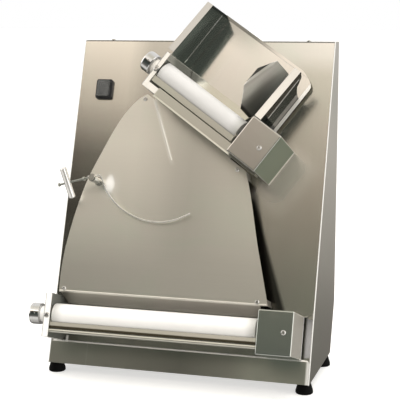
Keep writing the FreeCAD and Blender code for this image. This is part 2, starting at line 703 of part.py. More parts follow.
arm = cut("BalanceArm", fuse("BalanceArmSolid", [hub, sock, wire, tipb]),
          [cyl("HubBore", D.stud_radius + D.running_gap, 16, (PX, PS, 64.5)),
           cyl("RodBore", D.rod_radius, 8, tuple(rod_root), rod_rot)])
node("balance_arm", arm, F_SLOPE)

rod_end = hub0 + RN * rod_off - RD * 69.0
lock = hub0 + RN * rod_off - RD * 17.0
rod = fuse("BalanceRod", [
    cyl("RodThread", D.rod_radius, 69.0 - 5.6, tuple(rod_root), rod_rot),
    prism("RodLockNut", 6, 4.4, 3.6, tuple(lock), rod_rot),
    prism("RodEndNut", 6, 4.0, 3.0, tuple(rod_end), rod_rot)])
node("balance_rod", rod, F_SLOPE)

wc = hub0 + RN * rod_off - RD * 53.0
wa = math.radians(-28.0)
wdir = RN * (-math.cos(wa)) + V(0, 0, 1) * math.sin(wa)
wrot = Rot(V(0, 0, 1), wdir)
wstart = wc - wdir * (D.weight_length.v / 2)
wprof = revolve_body("WeightBar", [
    (0, 0), (D.weight_radius - 1.5, 0), (D.weight_radius, 1.5),
    (D.weight_radius, D.weight_length - 1.5), (D.weight_radius - 1.5, D.weight_length), (0, D.weight_length)])
wprof.Placement = Pl(wstart, wrot)
weight = cut("BalanceWeight", wprof,
             cyl("WeightBore", D.rod_radius + D.running_gap, 20, tuple(wc + RD * 10), rod_rot))
node("balance_weight", weight, F_SLOPE)


# ---------------------------------------------------------------------------
# Roller units
# ---------------------------------------------------------------------------
def gear_shape(teeth, module, width, bore, backlash):
    """Involute spur gear about Z with one tooth centred on +Y."""
    rp = module * teeth / 2.0
    ra, rf = rp + module, rp - 1.25 * module
    rb = rp * math.cos(math.radians(20))
    inv = lambda r: math.sqrt(max(r * r / rb / rb - 1, 0)) - math.acos(min(rb / r, 1))
    half = (math.pi * module / 2 - backlash) / 2 / rp + inv(rp)
    rs = [max(rb, rf + 0.2)]
    rs += [rs[0] + (ra - rs[0]) * k / 5.0 for k in range(1, 6)]
    pts = []
    for k in range(int(teeth)):
        c = math.pi / 2 + 2 * math.pi * k / teeth
        rot = lambda r, a: V(r * math.cos(c + a), r * math.sin(c + a), 0)
        a0 = half - inv(rs[0])
        pts.append(rot(rf, -a0 - 0.01))
        for r in rs:
            pts.append(rot(r, -(half - inv(r))))
        for r in rs[::-1]:
            pts.append(rot(r, half - inv(r)))
        pts.append(rot(rf, a0 + 0.01))
    pts.append(pts[0])
    s = Part.Face(Part.makePolygon(pts)).extrude(V(0, 0, width))
    if bore:
        s = s.cut(Part.makeCylinder(bore, width + 2, V(0, 0, -1)))
    return s


TURN = Rot(V(0, 1, 0), 90)            # local Z to u


def gear(name, teeth, bore, v, n, u0):
    o = doc.addObject("Part::Feature", name)
    o.Shape = gear_shape(teeth, D.gear_module.v, D.gear_width.v, bore, D.backlash.v)
    # gear axis Z -> u, gear +Y (first tooth) -> +n
    rot = Rot(V(0, 1, 0), V(0, 0, 1), V(1, 0, 0), "ZXY")
    o.Placement = Pl(V(u0, v, n), rot)
    return o


def unit(tag, frame, uL, uR, nf, rp0, rp1, cover, depth, recess, screw_at, vtop, motor_dir, pt, blade):
    """One roller unit. uL..uR is the roller, nf the front roller's centre,
    cover the gear cover's u range, pt the left plate's thickness and blade
    the scraper's upper and lower edge stand-off."""
    L = tag + "_"
    N = tag.capitalize()
    v0 = D.roller_v.v
    nr = nf - D.centre_distance.v
    pl1 = uL - D.end_play.v
    pl0 = pl1 - pt.v
    thin = pt.v < 12
    wall, jl, seat, neck = (2.2, 2.9, 7.4, 3.8) if thin else (2.6, 4.0, 9.4, 5.6)
    front = nf + 22.0
    ka = nf + D.eccentric.v
    nb = -23.3 if recess else 0.0
    # bearing plates
    if recess:
        outl = [(-36.2, nb), (37.6, nb), (37.6, 0.3), (vtop, 0.3), (vtop, front), (-39.5, front), (-39.5, 0.3), (-36.2, 0.3)]
        outr = [(-36.2, nb), (37.6, nb), (37.6, front), (-38.6, front), (-38.6, 0.3), (-36.2, 0.3)]
    else:
        outl = [(-39.5, 0), (vtop, 0), (vtop, front), (-39.5, front)]
        outr = [(-38.6, 0), (37.6, 0), (37.6, front), (-38.6, front)]
    bs = D.block_size.v / 2 + D.side_gap.v
    lp = poly_body(N + "LeftPlate", "YZ_Plane", outl, pt)
    lp.Placement = Pl(V(pl0, 0, 0), Rot())
    lp = soften("Part::Chamfer", N + "PlateEdge", lp,
                lambda p: abs(p.x - pl0) < 0.01 and abs(p.z - front) < 0.01, 2.2)
    add = [cyl(N + "Boss", D.boss_radius, D.boss_length + 1.0, (pl0 - D.boss_length.v, v0, ka), "x")]
    if thin:
        add.append(box(N + "PlateToe", (pl1 - 1, -39.5, front - 11.0), (pl1 + 25.6, -27.0, front)))
    lcut = [
        box(N + "BlockPocket", (pl0 + wall, v0 - bs, nf - bs), (pl1 + 1, v0 + bs, nf + bs + D.gap_travel.v)),
        cyl(N + "AdjustBore", 6.0 + D.running_gap.v, 40, (pl0 - 30, v0, ka), "x"),
        cyl(N + "LeftBushSeat", 12.0, 20, (pl1 - seat, v0, nr), "x"),
    ]
    uc = (pl0 + pl1) / 2
    lcut.append(cyl(N + "StopScrewHole", 2.2, 6, (uc, 1.5, front - 2.3), "z"))
    if not thin:
        lcut.append(cyl(N + "StopScrewWell", 5.3, 8, (uc, 1.5, front - 1.4), "z"))
    node(L + "left_plate", cut(N + "LeftPlateCut", fuse(N + "LeftPlateSolid", [lp] + add), lcut), frame)
    rpl = poly_body(N + "RightPlate", "YZ_Plane", outr, rp1 - rp0)
    rpl.Placement = Pl(V(rp0, 0, 0), Rot())
    node(L + "right_plate", cut(N + "RightPlateCut", rpl, [
        box(N + "BlockWindow", (rp0 - 1, v0 - bs, nf - bs), (rp1 + 1, v0 + bs, nf + bs + D.gap_travel.v)),
        cyl(N + "RightBushSeat", 12.0, rp1 - rp0 + 2, (rp0 - 1, v0, nr), "x")]), frame)
    bushes = []
    for k, (a, b) in enumerate(((pl1 - seat, pl1), (rp0, rp1))):
        bushes.append(cut(N + "Bush%d" % k, cyl(N + "BushRing%d" % k, 12.0, b - a, (a, v0, nr), "x"),
                          cyl(N + "BushBore%d" % k, D.shaft_radius + D.running_gap, 40, (a - 10, v0, nr), "x")))
    # rollers and shafts
    for which, n, sl0 in (("rear", nr, pl1 - seat + 0.4), ("front", nf, pl1 - neck)):
        W = N + which.capitalize()
        r = revolve_body(W + "Roller", [
            (D.shaft_radius, 0), (D.roller_radius - 1.0, 0), (D.roller_radius, 1.0),
            (D.roller_radius, (uR - uL) - 1.0), (D.roller_radius - 1.0, uR - uL), (D.shaft_radius, uR - uL)])
        r.Placement = Pl(V(uL, v0, n), TURN)
        node(L + which + "_roller", r, frame)
        node(L + which + "_shaft", cyl(W + "Shaft", D.shaft_radius, 6.0 - sl0, (sl0, v0, n), "x"), frame)
        g = gear(W + "Gear", D.roller_teeth.v, D.shaft_radius.v + 0.01, v0, n, -14.0)
        node(L + which + "_gear", g, frame)
    # sliding bearing blocks of the front roller
    b0 = D.block_size.v / 2
    lb = cut(N + "LeftBlock", box(N + "LeftBlockSolid", (pl0 + wall + 0.4, v0 - b0, nf - b0), (pl1 + 0.5, v0 + b0, nf + b0)),
             [cyl(N + "LeftBlockBore", D.shaft_radius.v + D.running_gap.v, 12, (pl1 - neck - 0.3, v0, nf), "x"),
              box(N + "EccentricSlot", (pl0 + 2, v0 - 9.3, nf - 7.75), (pl0 + wall + jl + 0.6, v0 + 9.3, nf + 7.75))])
    rb = cut(N + "RightBlock", box(N + "RightBlockSolid", (rp0 + 0.0, v0 - b0, nf - b0), (rp1 + 0.3, v0 + b0, nf + b0)),
             cyl(N + "RightBlockBore", D.shaft_radius.v + D.running_gap.v, 40, (rp0 - 10, v0, nf), "x"))
    node(L + "bearing_blocks", group(N + "Blocks", [lb, rb]), frame)
    # front scraper on the sliding blocks: tilted blade with end tabs
    a0, a1 = (-10.5, nf + blade[0]), (-22.0, nf + blade[1])
    tl = math.hypot(a1[0] - a0[0], a1[1] - a0[1])
    ang = math.degrees(math.atan2(a1[1] - a0[1], -(a1[0] - a0[0])))
    blade = box(N + "Blade", (0, 0, 0), (uR - uL + 3.6, tl, 1.5))
    blade.Placement = Pl(V(uL - 1.8, a1[0], a1[1]), Rot(V(1, 0, 0), -ang)).multiply(Pl(V(0, 0, -1.5), Rot()))
    tabs = [box(N + "TabL", (uL - 1.9, -21.5, nf + 4), (uL - 0.7, -5.0, nf + 19.0)),
            box(N + "TabR", (uR + 0.7, -21.5, nf + 4), (uR + 1.9, -5.0, nf + 19.0)),
            box(N + "ArmR", (uR + 0.8, -8.0, nf + 9), (rp0, -5.0, nf + 13))]
    node(L + "front_scraper", fuse(N + "Scraper", [blade] + tabs), frame)
    # adjuster: shaft with eccentric journal, and knob
    sh = fuse(N + "AdjustShaft", [
        cyl(N + "AdjustCore", 6.0, D.boss_length.v + 19.9 + wall, (pl0 - D.boss_length.v - 19.6, v0, ka), "x"),
        cyl(N + "Eccentric", D.journal_radius, jl, (pl0 + wall + 0.3, v0, nf), "x")])
    node(L + "adjust_shaft", sh, frame)
    K = D.knob_length
    kn = revolve_body(N + "Knob", [
        (6.0, 0), (D.knob_radius - 2.0, 0), (D.knob_radius - 0.6, 0.6), (D.knob_radius, 2.0),
        (D.knob_radius, K - 4.0), (D.knob_radius - 1.2, K - 1.2), (D.knob_radius - 4.0, K),
        (D.knob_radius - 9.0, K), (D.knob_radius - 10.5, K - 1.2), (0, K - 1.2), (0, 19.5), (6.0, 19.5)])
    kn.Placement = Pl(V(pl0 - D.boss_length.v - 0.4, v0, ka), AX["-x"])
    grub = cyl(N + "KnobMark", 1.6, 3.0, (pl0 - D.boss_length.v - 8.0, v0, ka + D.knob_radius.v - 2.0), "z")
    node(L + "knob", cut(N + "KnobCut", kn, grub), frame)
    # cover with the notch for the roller necks
    c_l, c_r = cover
    cw = D.cover_wall.v
    c0 = 0.2 if recess else 0.0
    block = soften("Part::Fillet", N + "CoverRounded", box(N + "CoverBlock", (c_l, -41.0, c0), (c_r, 41.0, depth)),
                   lambda p: True, D.bend_radius.v)
    block.Edges = [(i, a, b) for i, a, b in block.Edges
                   if max(v.Point.z for v in block.Base.Shape.Edges[i - 1].Vertexes) > depth - 0.01]
    shell = cut(N + "Cover", block,
                [box(N + "CoverHollow", (c_l + cw, -41.0 + cw, -1), (c_r - cw, 41.0 - cw, depth - cw)),
                 box(N + "NeckNotch", (c_l - 1, v0 - 13.0, -1), (c_l + cw + 1, v0 + 13.0, nf + 18.0)),
                 cyl(N + "CoverHole", 2.2, 6, (screw_at[0], screw_at[1], depth - 4))])
    node(L + "gear_cover", shell, frame)
    post = cut(N + "CoverPost", cyl(N + "PostRod", 6.0, depth - cw - 0.02 - nb, (screw_at[0], screw_at[1], nb)),
               cyl(N + "PostBore", 2.1, 16, (screw_at[0], screw_at[1], depth - cw - 14)))
    post.Placement = frame.multiply(post.Placement)
    # drive pinion with its stub shaft, and the gearmotor behind the panel
    np_ = nr - D.gear_module.v * (D.roller_teeth.v + D.pinion_teeth.v) / 2
    pg = gear(N + "PinionTeeth", D.pinion_teeth.v, 0, v0, np_, -14.0)
    node(L + "drive_pinion", fuse(N + "Pinion", [pg, cyl(N + "PinionShaft", 6.0, 30, (-42, v0, np_), "x")]), frame)
    g1 = (nb if recess else -1.5) - 3.6
    gb = box(N + "GearboxBlock", (-76, v0 - 35, g1 - 70), (-17, v0 + 35, g1))
    d = motor_dir
    ve = v0 + 35 * d
    mot = [
        gb,
        cyl(N + "MotorFlange", 33.0, 8, (-46, ve if d > 0 else ve, g1 - 36), "y" if d > 0 else "-y"),
        cyl(N + "MotorBody", 30.0, 110, (-46, ve + 8 * d, g1 - 36), "y" if d > 0 else "-y"),
        cyl(N + "MotorCap", 27.0, 14, (-46, ve + 118 * d, g1 - 36), "y" if d > 0 else "-y"),
    ]
    lo, hi = sorted((ve + 40 * d, ve + 90 * d))
    mot.append(box(N + "TerminalBox", (-62, lo, g1 - 84 + 4), (-30, hi, g1 - 60)))
    lo, hi = sorted((ve + 10 * d, ve + 116 * d))
    for k in range(10):
        a = math.radians(36 * k + 18)
        fin = box(N + "Fin%d" % k, (0, 0, -1), (33.0, hi - lo, 1))
        fin.Placement = Pl(V(-46, lo, g1 - 36), Rot(V(0, 1, 0), math.degrees(a))).multiply(Pl(V(0, 0, -1), Rot()))
        mot.append(fin)
    motor = cut(N + "Gearmotor", fuse(N + "GearmotorSolid", mot),
                cyl(N + "OutputBore", 6.0 + D.running_gap.v, 32, (-46, v0, np_), "x"))
    motor.Placement = frame.multiply(motor.Placement)
    bush = group(N + "Bushes", bushes)
    bush.Placement = frame.multiply(bush.Placement)
    sc = [screw(N + "CoverScrew", (screw_at[0], screw_at[1], depth), "z", 4.6, 2.6, 2.0, 12.0)]
    if thin:
        sc.append(screw(N + "StopScrew", (uc, 1.5, front), "z", 6.0, 2.2, 2.0, 2.0))
    else:
        sc.append(screw(N + "StopScrew", (uc, 1.5, front - 1.4), "z", 4.9, 2.2, 2.0, 0.8))
    scg = group(N + "Screws", sc)
    scg.Placement = frame.multiply(scg.Placement)
    return post, motor, bush, scg


low = unit("lower", F_LOW, -440.5, -40.5, 56.0, -31.0, -18.0,
           (33.0 - D.lower_cover_width.v, 33.0), D.lower_cover_depth.v, True, (16.4, 1.5), 44.5, 1,
           D.lower_plate, (19.4, 20.6))
upp = unit("upper", F_UP, -249.0, -49.0, 86.0, -33.5, -20.7,
           (32.0 - D.upper_cover_width.v, 32.0), D.upper_cover_depth.v, False, (12.5, -0.4), 39.5, -1,
           D.upper_plate, (20.4, 20.1))
for label, k in (("cover_posts", 0), ("gearmotors", 1), ("rear_bushes", 2)):
    g = group(label + "_pair", [low[k], upp[k]])
    g.Label = label
    nodes[label] = g

# front bars under the rollers
nose = [(-26.75 + 3.75 * math.sin(a), 73.75 + 3.75 * math.cos(a))
        for a in [math.radians(90 - 15 * k) for k in range(13)]]
prof = mitred([(-23.0, 60.0)] + nose + [(-30.5, 68.0)], 1.5)
bar = poly_body("LowerBar", "YZ_Plane", prof, 442.8 - 33.4, False)
bar.Placement = Pl(V(-442.8, 0, 0), Rot())
node("lower_front_bar", bar, F_LOW)
prof = mitred([(-24.5, 107.8), (-40.8, 107.8), (-40.8, 90.0)][::-1], 1.5)
bar = poly_body("UpperBar", "YZ_Plane", prof, 225.5 - 35.8, False)
bar.Placement = Pl(V(-225.5, 0, 0), Rot())
lipu = poly_body("UpperBarLip", "YZ_Plane",
                 [(-44.6, 88.0), (-44.6, 111.0), (-41.1, 110.0), (-41.1, 88.0)], 226.0 + 31.5, False)
lipu.Placement = Pl(V(-226.0, 0, 0), Rot())
weld = box("UpperBarWeld", (-225.0, -41.3, 91.0), (-36.5, -40.6, 107.0))
node("upper_front_bar", fuse("UpperBarAll", [bar, lipu, weld]), F_UP)

# ---------------------------------------------------------------------------
# Hopper on the upper unit
# ---------------------------------------------------------------------------
ht = D.hopper_thick.v
hb = D.hopper_back_n.v
prof = mitred([(29.0, 46.0), (46.0, hb), (175.0, hb)][::-1], ht)
back = poly_body("HopperBackSheet", "YZ_Plane", prof, 250.0 - 19.5, False)
back.Placement = Pl(V(-250.0, 0, 0), Rot())
hem = box("HopperHem", (-250.0, 169.0, hb - 0.3), (-19.5, 175.0, hb + 1.2))
corner = poly_body("HopperBackCorner", "XY_Plane",
                   [(-54.5, 175.1), (-43.0, 171.8), (-33.0, 167.8), (-25.0, 162.6), (-20.6, 157.5), (-19.4, 152.0),
                    (-10.0, 152.0), (-10.0, 180.0), (-54.5, 180.0)], 10.0, False)
corner.Placement = Pl(V(0, 0, hb - 5.0), Rot())
edge = box("HopperBackEdge", (-250.0 - ht, 46.0, hb - ht), (-249.5, 174.9, hb))
back = cut("HopperBackTrimmed", fuse("HopperBack", [back, hem, edge]),
           [box("HopperBackNotch", (-35.8, 20, -5), (-10, 43.2, 60)), corner])
node("hopper_back", back, F_UP)


HS = ((-256.5, 39.6 + ht, 35.0), (-256.5, 39.6 + ht, 90.0), (-33.0, 41.2 + ht, 35.0), (-33.0, 41.2 + ht, 85.0))
lean_front = math.degrees(math.atan2(10.0, 118.0))


def hopper_wall(name, u0, outline, strip, foot, screws, bead):
    """Side sheet with a leaning front strip, a screwed foot and a thin pressed rib (u, n, lower and upper v)."""
    w = poly_body(name + "Sheet", "YZ_Plane", outline, ht, False)
    w.Placement = Pl(V(u0, 0, 0), Rot())
    rib = cyl(name + "Rib", 1.0, bead[3] - bead[2], (bead[0], bead[2], bead[1]), "y")
    ua, ub, v0, n0, length = strip
    front = box(name + "Strip", (0, 0, -ht), (ub - ua, length, 0))
    front.Placement = Pl(V(ua, v0, n0), Rot(V(1, 0, 0), -lean_front)).multiply(Pl(V(0, 0, -ht), Rot()))
    return cut(name, fuse(name + "Solid", [w, front, foot, rib]),
               [cyl(name + "FootHole%d" % k, 1.7, 4, (c[0], c[1] - 3, c[2]), "y") for k, c in enumerate(screws)])


lw = hopper_wall("HopperLeft", -250.0 - ht, [(27.0, hb), (27.0, 107.2), (46.0, 107.2), (163.8, 97.2), (174.6, hb)],
                 (-263.4, -250.0, 46.0, 108.0, 118.2),
                 box("HopperLeftFoot", (-261.2, 39.6, 14.0), (-250.0, 39.6 + ht, 104.0)), HS[:2], (-250.1, 34.0, 48.0, 166.0))
node("hopper_left_wall", lw, F_UP)
rw = hopper_wall("HopperRight", -28.0, [(41.2, 22.8), (41.2, 107.4), (44.0, 107.4), (159.8, 97.5), (155.6, 76.0),
                                        (144.5, 64.5), (137.0, 59.0), (130.0, 38.0), (127.0, hb), (46.1, hb)],
                 (-41.3, -28.0 + ht, 43.6, 108.0, 116.6),
                 box("HopperRightFoot", (-39.0, 41.2, 24.5), (-28.0 + ht, 41.2 + ht, 100.0)), HS[2:], (-26.7, 80.0, 48.0, 148.0))
node("hopper_right_wall", rw, F_UP)

gu = -76.0
cheek = poly_body("CheekSheet", "YZ_Plane",
                  [(47.0, hb + 0.1), (38.3, 29.6), (38.0, 95.0), (72.0, 160.0), (150.0, 102.0), (154.0, hb + 0.1)], ht)
cheek.Placement = Pl(V(gu, 0, 0), Rot())
flange = box("CheekFlange", (gu, 48.0, hb + 0.1), (gu + 15, 152.0, hb + 0.1 + ht))
# folded front corner along the line from (72,160) to (150,102)
fd = V(0, 150.0 - 72.0, 102.0 - 160.0)
fl = fd.Length
fd.normalize()
fn = V(0, -fd.z, fd.y)
fold = poly_body("CheekFold", "XY_Plane", [(0, -0.3), (fl, -0.3), (fl, 0.0), (39.4, 15.1), (0, 0.0)], ht, False)
out = fn * math.cos(math.radians(14)) + V(-1, 0, 0) * math.sin(math.radians(14))
fold.Placement = Pl(V(gu, 72.0, 160.0), Rot(fd, out, V(0, 0, 0), "XYZ"))
node("hopper_guide", fuse("HopperGuide", [cheek, flange, fold]), F_UP)

hs = []
for k, (u, v, n) in enumerate(HS):
    hs.append(screw("HopperScrew%d" % k, (u, v, n), "y", 3.6, 2.2, 1.6, 1.15))
hsg = group("HopperScrews", hs)
hsg.Placement = F_UP.multiply(hsg.Placement)
g = group("UnitScrews", [low[3], upp[3], hsg])
g.Label = "unit_screws"
nodes["unit_screws"] = g

doc.recompute()

# ---------------------------------------------------------------------------
# Check every object, then write each piece
# ---------------------------------------------------------------------------
bad = [o.Name for o in doc.Objects if any(w in ("Invalid", "Error") for w in o.State)]
if bad:
    raise RuntimeError("failed objects: " + ", ".join(bad))
total = FreeCAD.BoundBox()
for label, o in nodes.items():
    s = o.Shape
    if s.isNull() or not s.isValid() or not s.Solids:
        raise RuntimeError("bad shape: " + label)
    total.add(s.BoundBox)
print("nodes", len(nodes))
bb = [c for c in (total.XMin, total.XMax, total.YMin, total.YMax, total.ZMin, total.ZMax)]
print("several solids", {k: [round(x.Volume, 1) for x in o.Shape.Solids] for k, o in nodes.items()
                         if len(o.Shape.Solids) > 1})
print("bounds", ["%.3f" % c for c in bb])
print("centre", "%.4f %.4f" % ((bb[0] + bb[1]) / 2, (bb[2] + bb[3]) / 2))
os.makedirs("parts", exist_ok=True)
for label, o in nodes.items():
    o.Shape.exportStep("parts/%s.step" % label)
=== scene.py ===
"""Looks of a two-stage pizza dough roller: finishes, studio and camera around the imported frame."""
import math

import bpy
from mathutils import Euler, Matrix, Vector

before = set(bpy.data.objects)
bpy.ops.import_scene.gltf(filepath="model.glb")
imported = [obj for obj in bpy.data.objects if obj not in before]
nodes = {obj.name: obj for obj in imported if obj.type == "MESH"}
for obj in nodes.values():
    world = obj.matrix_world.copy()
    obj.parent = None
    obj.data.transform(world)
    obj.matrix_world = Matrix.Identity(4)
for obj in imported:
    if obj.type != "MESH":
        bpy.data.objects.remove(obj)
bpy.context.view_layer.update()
scene = bpy.context.scene

# ---------------------------------------------------------------- directions of the leaning front, in the row frame
LEAN = math.radians(19.777)
E_X = Vector((1, 0, 0))
E_S = Vector((0, math.sin(LEAN), math.cos(LEAN)))        # up the leaning front
E_N = Vector((0, -math.cos(LEAN), math.sin(LEAN)))       # out of it
PHI = math.radians(-34.6)
E_U = E_X * math.cos(PHI) + E_S * math.sin(PHI)          # along the inclined rollers
E_V = -E_X * math.sin(PHI) + E_S * math.cos(PHI)
E_Y = Vector((0, 1, 0))
E_Z = Vector((0, 0, 1))
ORIGIN = Vector((0.0076, -0.0996269, 0.020))
UPPER = ORIGIN + E_X * 0.148 + E_S * 0.423               # where the inclined unit's own axes start


def slope(x, s, n):
    """A point of the leaning front, in millimetres, as a point of the row frame."""
    return ORIGIN + E_X * (x / 1000) + E_S * (s / 1000) + E_N * (n / 1000)


# ---------------------------------------------------------------- node-tree helper
class Tree:
    """A material's nodes, made by short calls that return sockets."""

    def __init__(self, name):
        self.mat = bpy.data.materials.new(name)
        self.mat.use_nodes = True
        self.t = self.mat.node_tree
        self.t.nodes.clear()
        self.out = self.t.nodes.new("ShaderNodeOutputMaterial")
        self.b = self.t.nodes.new("ShaderNodeBsdfPrincipled")
        self.t.links.new(self.b.outputs[0], self.out.inputs[0])
        coords = self.t.nodes.new("ShaderNodeTexCoord")
        self.pos, self.normal = coords.outputs["Object"], coords.outputs["Normal"]

    def put(self, socket, value):
        if hasattr(value, "is_output"):
            self.t.links.new(value, socket)
        else:
            socket.default_value = value

    def set(self, **values):
        names = {"color": "Base Color", "metal": "Metallic", "rough": "Roughness", "ior": "IOR", "spec": "Specular IOR Level",
                 "coat": "Coat Weight", "coat_rough": "Coat Roughness", "normal": "Normal", "alpha": "Alpha",
                 "trans": "Transmission Weight", "sss": "Subsurface Weight", "sss_r": "Subsurface Radius",
                 "sss_scale": "Subsurface Scale", "aniso": "Anisotropic", "sheen": "Sheen Weight"}
        for key, value in values.items():
            if key in ("color",) and not hasattr(value, "is_output"):
                value = (*value, 1)
            self.put(self.b.inputs[names[key]], value)
        return self

    def math(self, op, a, b=0.0, c=0.0, clamp=False):
        n = self.t.nodes.new("ShaderNodeMath")
        n.operation = op
        n.use_clamp = clamp
        for socket, value in zip(n.inputs, (a, b, c)):
            self.put(socket, value)
        return n.outputs[0]

    def dot(self, vector, socket=None):
        n = self.t.nodes.new("ShaderNodeVectorMath")
        n.operation = "DOT_PRODUCT"
        self.put(n.inputs[0], socket or self.pos)
        n.inputs[1].default_value = vector
        return n.outputs["Value"]

    def along(self, direction, start=None, scale=1000.0):
        """Distance along a direction in millimetres, from a start point."""
        start = ORIGIN if start is None else start
        return self.math("SUBTRACT", self.dot(tuple(direction * scale)), start.dot(direction) * scale)

    def facing(self, direction, a=0.5, b=0.8):
        """1 where the surface looks along a direction."""
        return self.span(self.dot(tuple(direction), self.normal), a, b, 0.0, 1.0, smooth=True)

    def combine(self, x, y, z):
        n = self.t.nodes.new("ShaderNodeCombineXYZ")
        for socket, value in zip(n.inputs, (x, y, z)):
            self.put(socket, value)
        return n.outputs[0]

    def axes(self, a, b, c, ka, kb, kc):
        """Coordinates along three directions, each with its own scale per metre."""
        return self.combine(self.dot(tuple(a * ka)), self.dot(tuple(b * kb)), self.dot(tuple(c * kc)))

    def noise(self, vector, scale=1.0, detail=3.0, rough=0.5, distort=0.0):
        n = self.t.nodes.new("ShaderNodeTexNoise")
        self.put(n.inputs["Vector"], vector)
        n.inputs["Scale"].default_value = scale
        n.inputs["Detail"].default_value = detail
        n.inputs["Roughness"].default_value = rough
        n.inputs["Distortion"].default_value = distort
        return n.outputs["Fac"]

    def voronoi(self, vector, scale=1.0, feature="F1", out="Distance"):
        n = self.t.nodes.new("ShaderNodeTexVoronoi")
        n.feature = feature
        self.put(n.inputs["Vector"], vector)
        n.inputs["Scale"].default_value = scale
        return n.outputs[out]

    def ramp(self, fac, stops, mode="LINEAR"):
        n = self.t.nodes.new("ShaderNodeValToRGB")
        n.color_ramp.interpolation = mode
        el = n.color_ramp.elements
        while len(el) < len(stops):
            el.new(0.5)
        for e, (p, col) in zip(el, stops):
            e.position = p
            e.color = (*col, 1) if hasattr(col, "__len__") else (col, col, col, 1)
        self.put(n.inputs[0], fac)
        return n.outputs[0]

    def span(self, value, a, b, lo=0.0, hi=1.0, smooth=False):
        n = self.t.nodes.new("ShaderNodeMapRange")
        n.interpolation_type = "SMOOTHSTEP" if smooth else "LINEAR"
        self.put(n.inputs[0], value)
        for i, v in zip((1, 2, 3, 4), (a, b, lo, hi)):
            self.put(n.inputs[i], v)
        return n.outputs[0]

    def mix(self, fac, a, b, mode="MIX"):
        n = self.t.nodes.new("ShaderNodeMix")
        n.data_type = "RGBA"
        n.blend_type = mode
        self.put(n.inputs[0], fac)
        for socket, value in zip((n.inputs[6], n.inputs[7]), (a, b)):
            self.put(socket, (*value, 1) if hasattr(value, "__len__") and not hasattr(value, "is_output") else value)
        return n.outputs[2]

    def bump(self, height, strength=0.1, distance=0.001, normal=None):
        n = self.t.nodes.new("ShaderNodeBump")
        n.inputs["Strength"].default_value = strength
        n.inputs["Distance"].default_value = distance
        self.put(n.inputs["Height"], height)
        if normal is not None:
            self.put(n.inputs["Normal"], normal)
        return n.outputs[0]


# ---------------------------------------------------------------- metals
def brushed(name, along, across, color, rough=0.28, tint=(0.9, 1.0, 0.93), grain=1.0, smudge=0.03, bump=0.02, streak=0.02,
            metal=1.0, local=None):
    """Stainless sheet with a fine grain along one direction, cloudy handling marks and slow tone changes.
    local(tree, color, rough, metal) may paint light and shade in some places, and change roughness and metal there."""
    t = Tree(name)
    third = along.cross(across)
    fine = t.noise(t.axes(across, along, third, 1500 * grain, 11, 1500 * grain), detail=3.0, rough=0.6)
    mid = t.noise(t.axes(across, along, third, 330 * grain, 1.6, 330 * grain), detail=2.0, rough=0.5)
    cloud = t.noise(t.axes(across, along, third, 7, 5, 7), detail=4.0, rough=0.62, distort=0.4)
    spots = t.noise(t.axes(across, along, third, 55, 40, 55), detail=3.0, rough=0.6)
    lo = tuple(c * (1 - streak) for c in color)
    hi = tuple(min(1.0, c * (1 + streak)) for c in color)
    base = t.ramp(t.math("ADD", t.math("MULTIPLY", fine, 0.55), t.math("MULTIPLY", mid, 0.45)), [(0.36, lo), (0.64, hi)])
    stain = tuple(c * k for c, k in zip(color, tint))
    base = t.mix(t.span(cloud, 0.42, 0.70, 0.0, 0.35, smooth=True), base, stain)
    r = t.math("ADD", t.span(fine, 0.3, 0.7, rough - 0.015, rough + 0.015), t.span(cloud, 0.3, 0.7, -smudge / 2, smudge / 2))
    r = t.math("ADD", r, t.span(spots, 0.60, 0.78, 0.0, smudge), clamp=True)
    if local:
        base, r, metal = local(t, base, r, metal)
    t.set(color=base, metal=metal, rough=r, normal=t.bump(fine, bump, 0.00004 / max(grain, 0.2)))
    return t.mat


def turned(name, axis_dir, color, rough=0.3, lines=2200.0, bump=0.08):
    """Lathe-turned or ground round metal: rings square to its axis."""
    t = Tree(name)
    other = axis_dir.orthogonal().normalized()
    third = axis_dir.cross(other)
    rings = t.noise(t.axes(axis_dir, other, third, lines, 12, 12), detail=2.0, rough=0.6)
    cloud = t.noise(t.axes(axis_dir, other, third, 60, 60, 60), detail=3.0, rough=0.6)
    base = t.ramp(rings, [(0.35, tuple(c * 0.93 for c in color)), (0.65, tuple(min(1, c * 1.05) for c in color))])
    base = t.mix(t.span(cloud, 0.5, 0.75, 0.0, 0.3), base, tuple(c * 0.8 for c in color))
    t.set(color=base, metal=1.0, rough=t.span(rings, 0.3, 0.7, rough - 0.05, rough + 0.05), normal=t.bump(rings, bump, 0.00005))
    return t.mat


STEEL = (0.60, 0.575, 0.525)
mats = {}


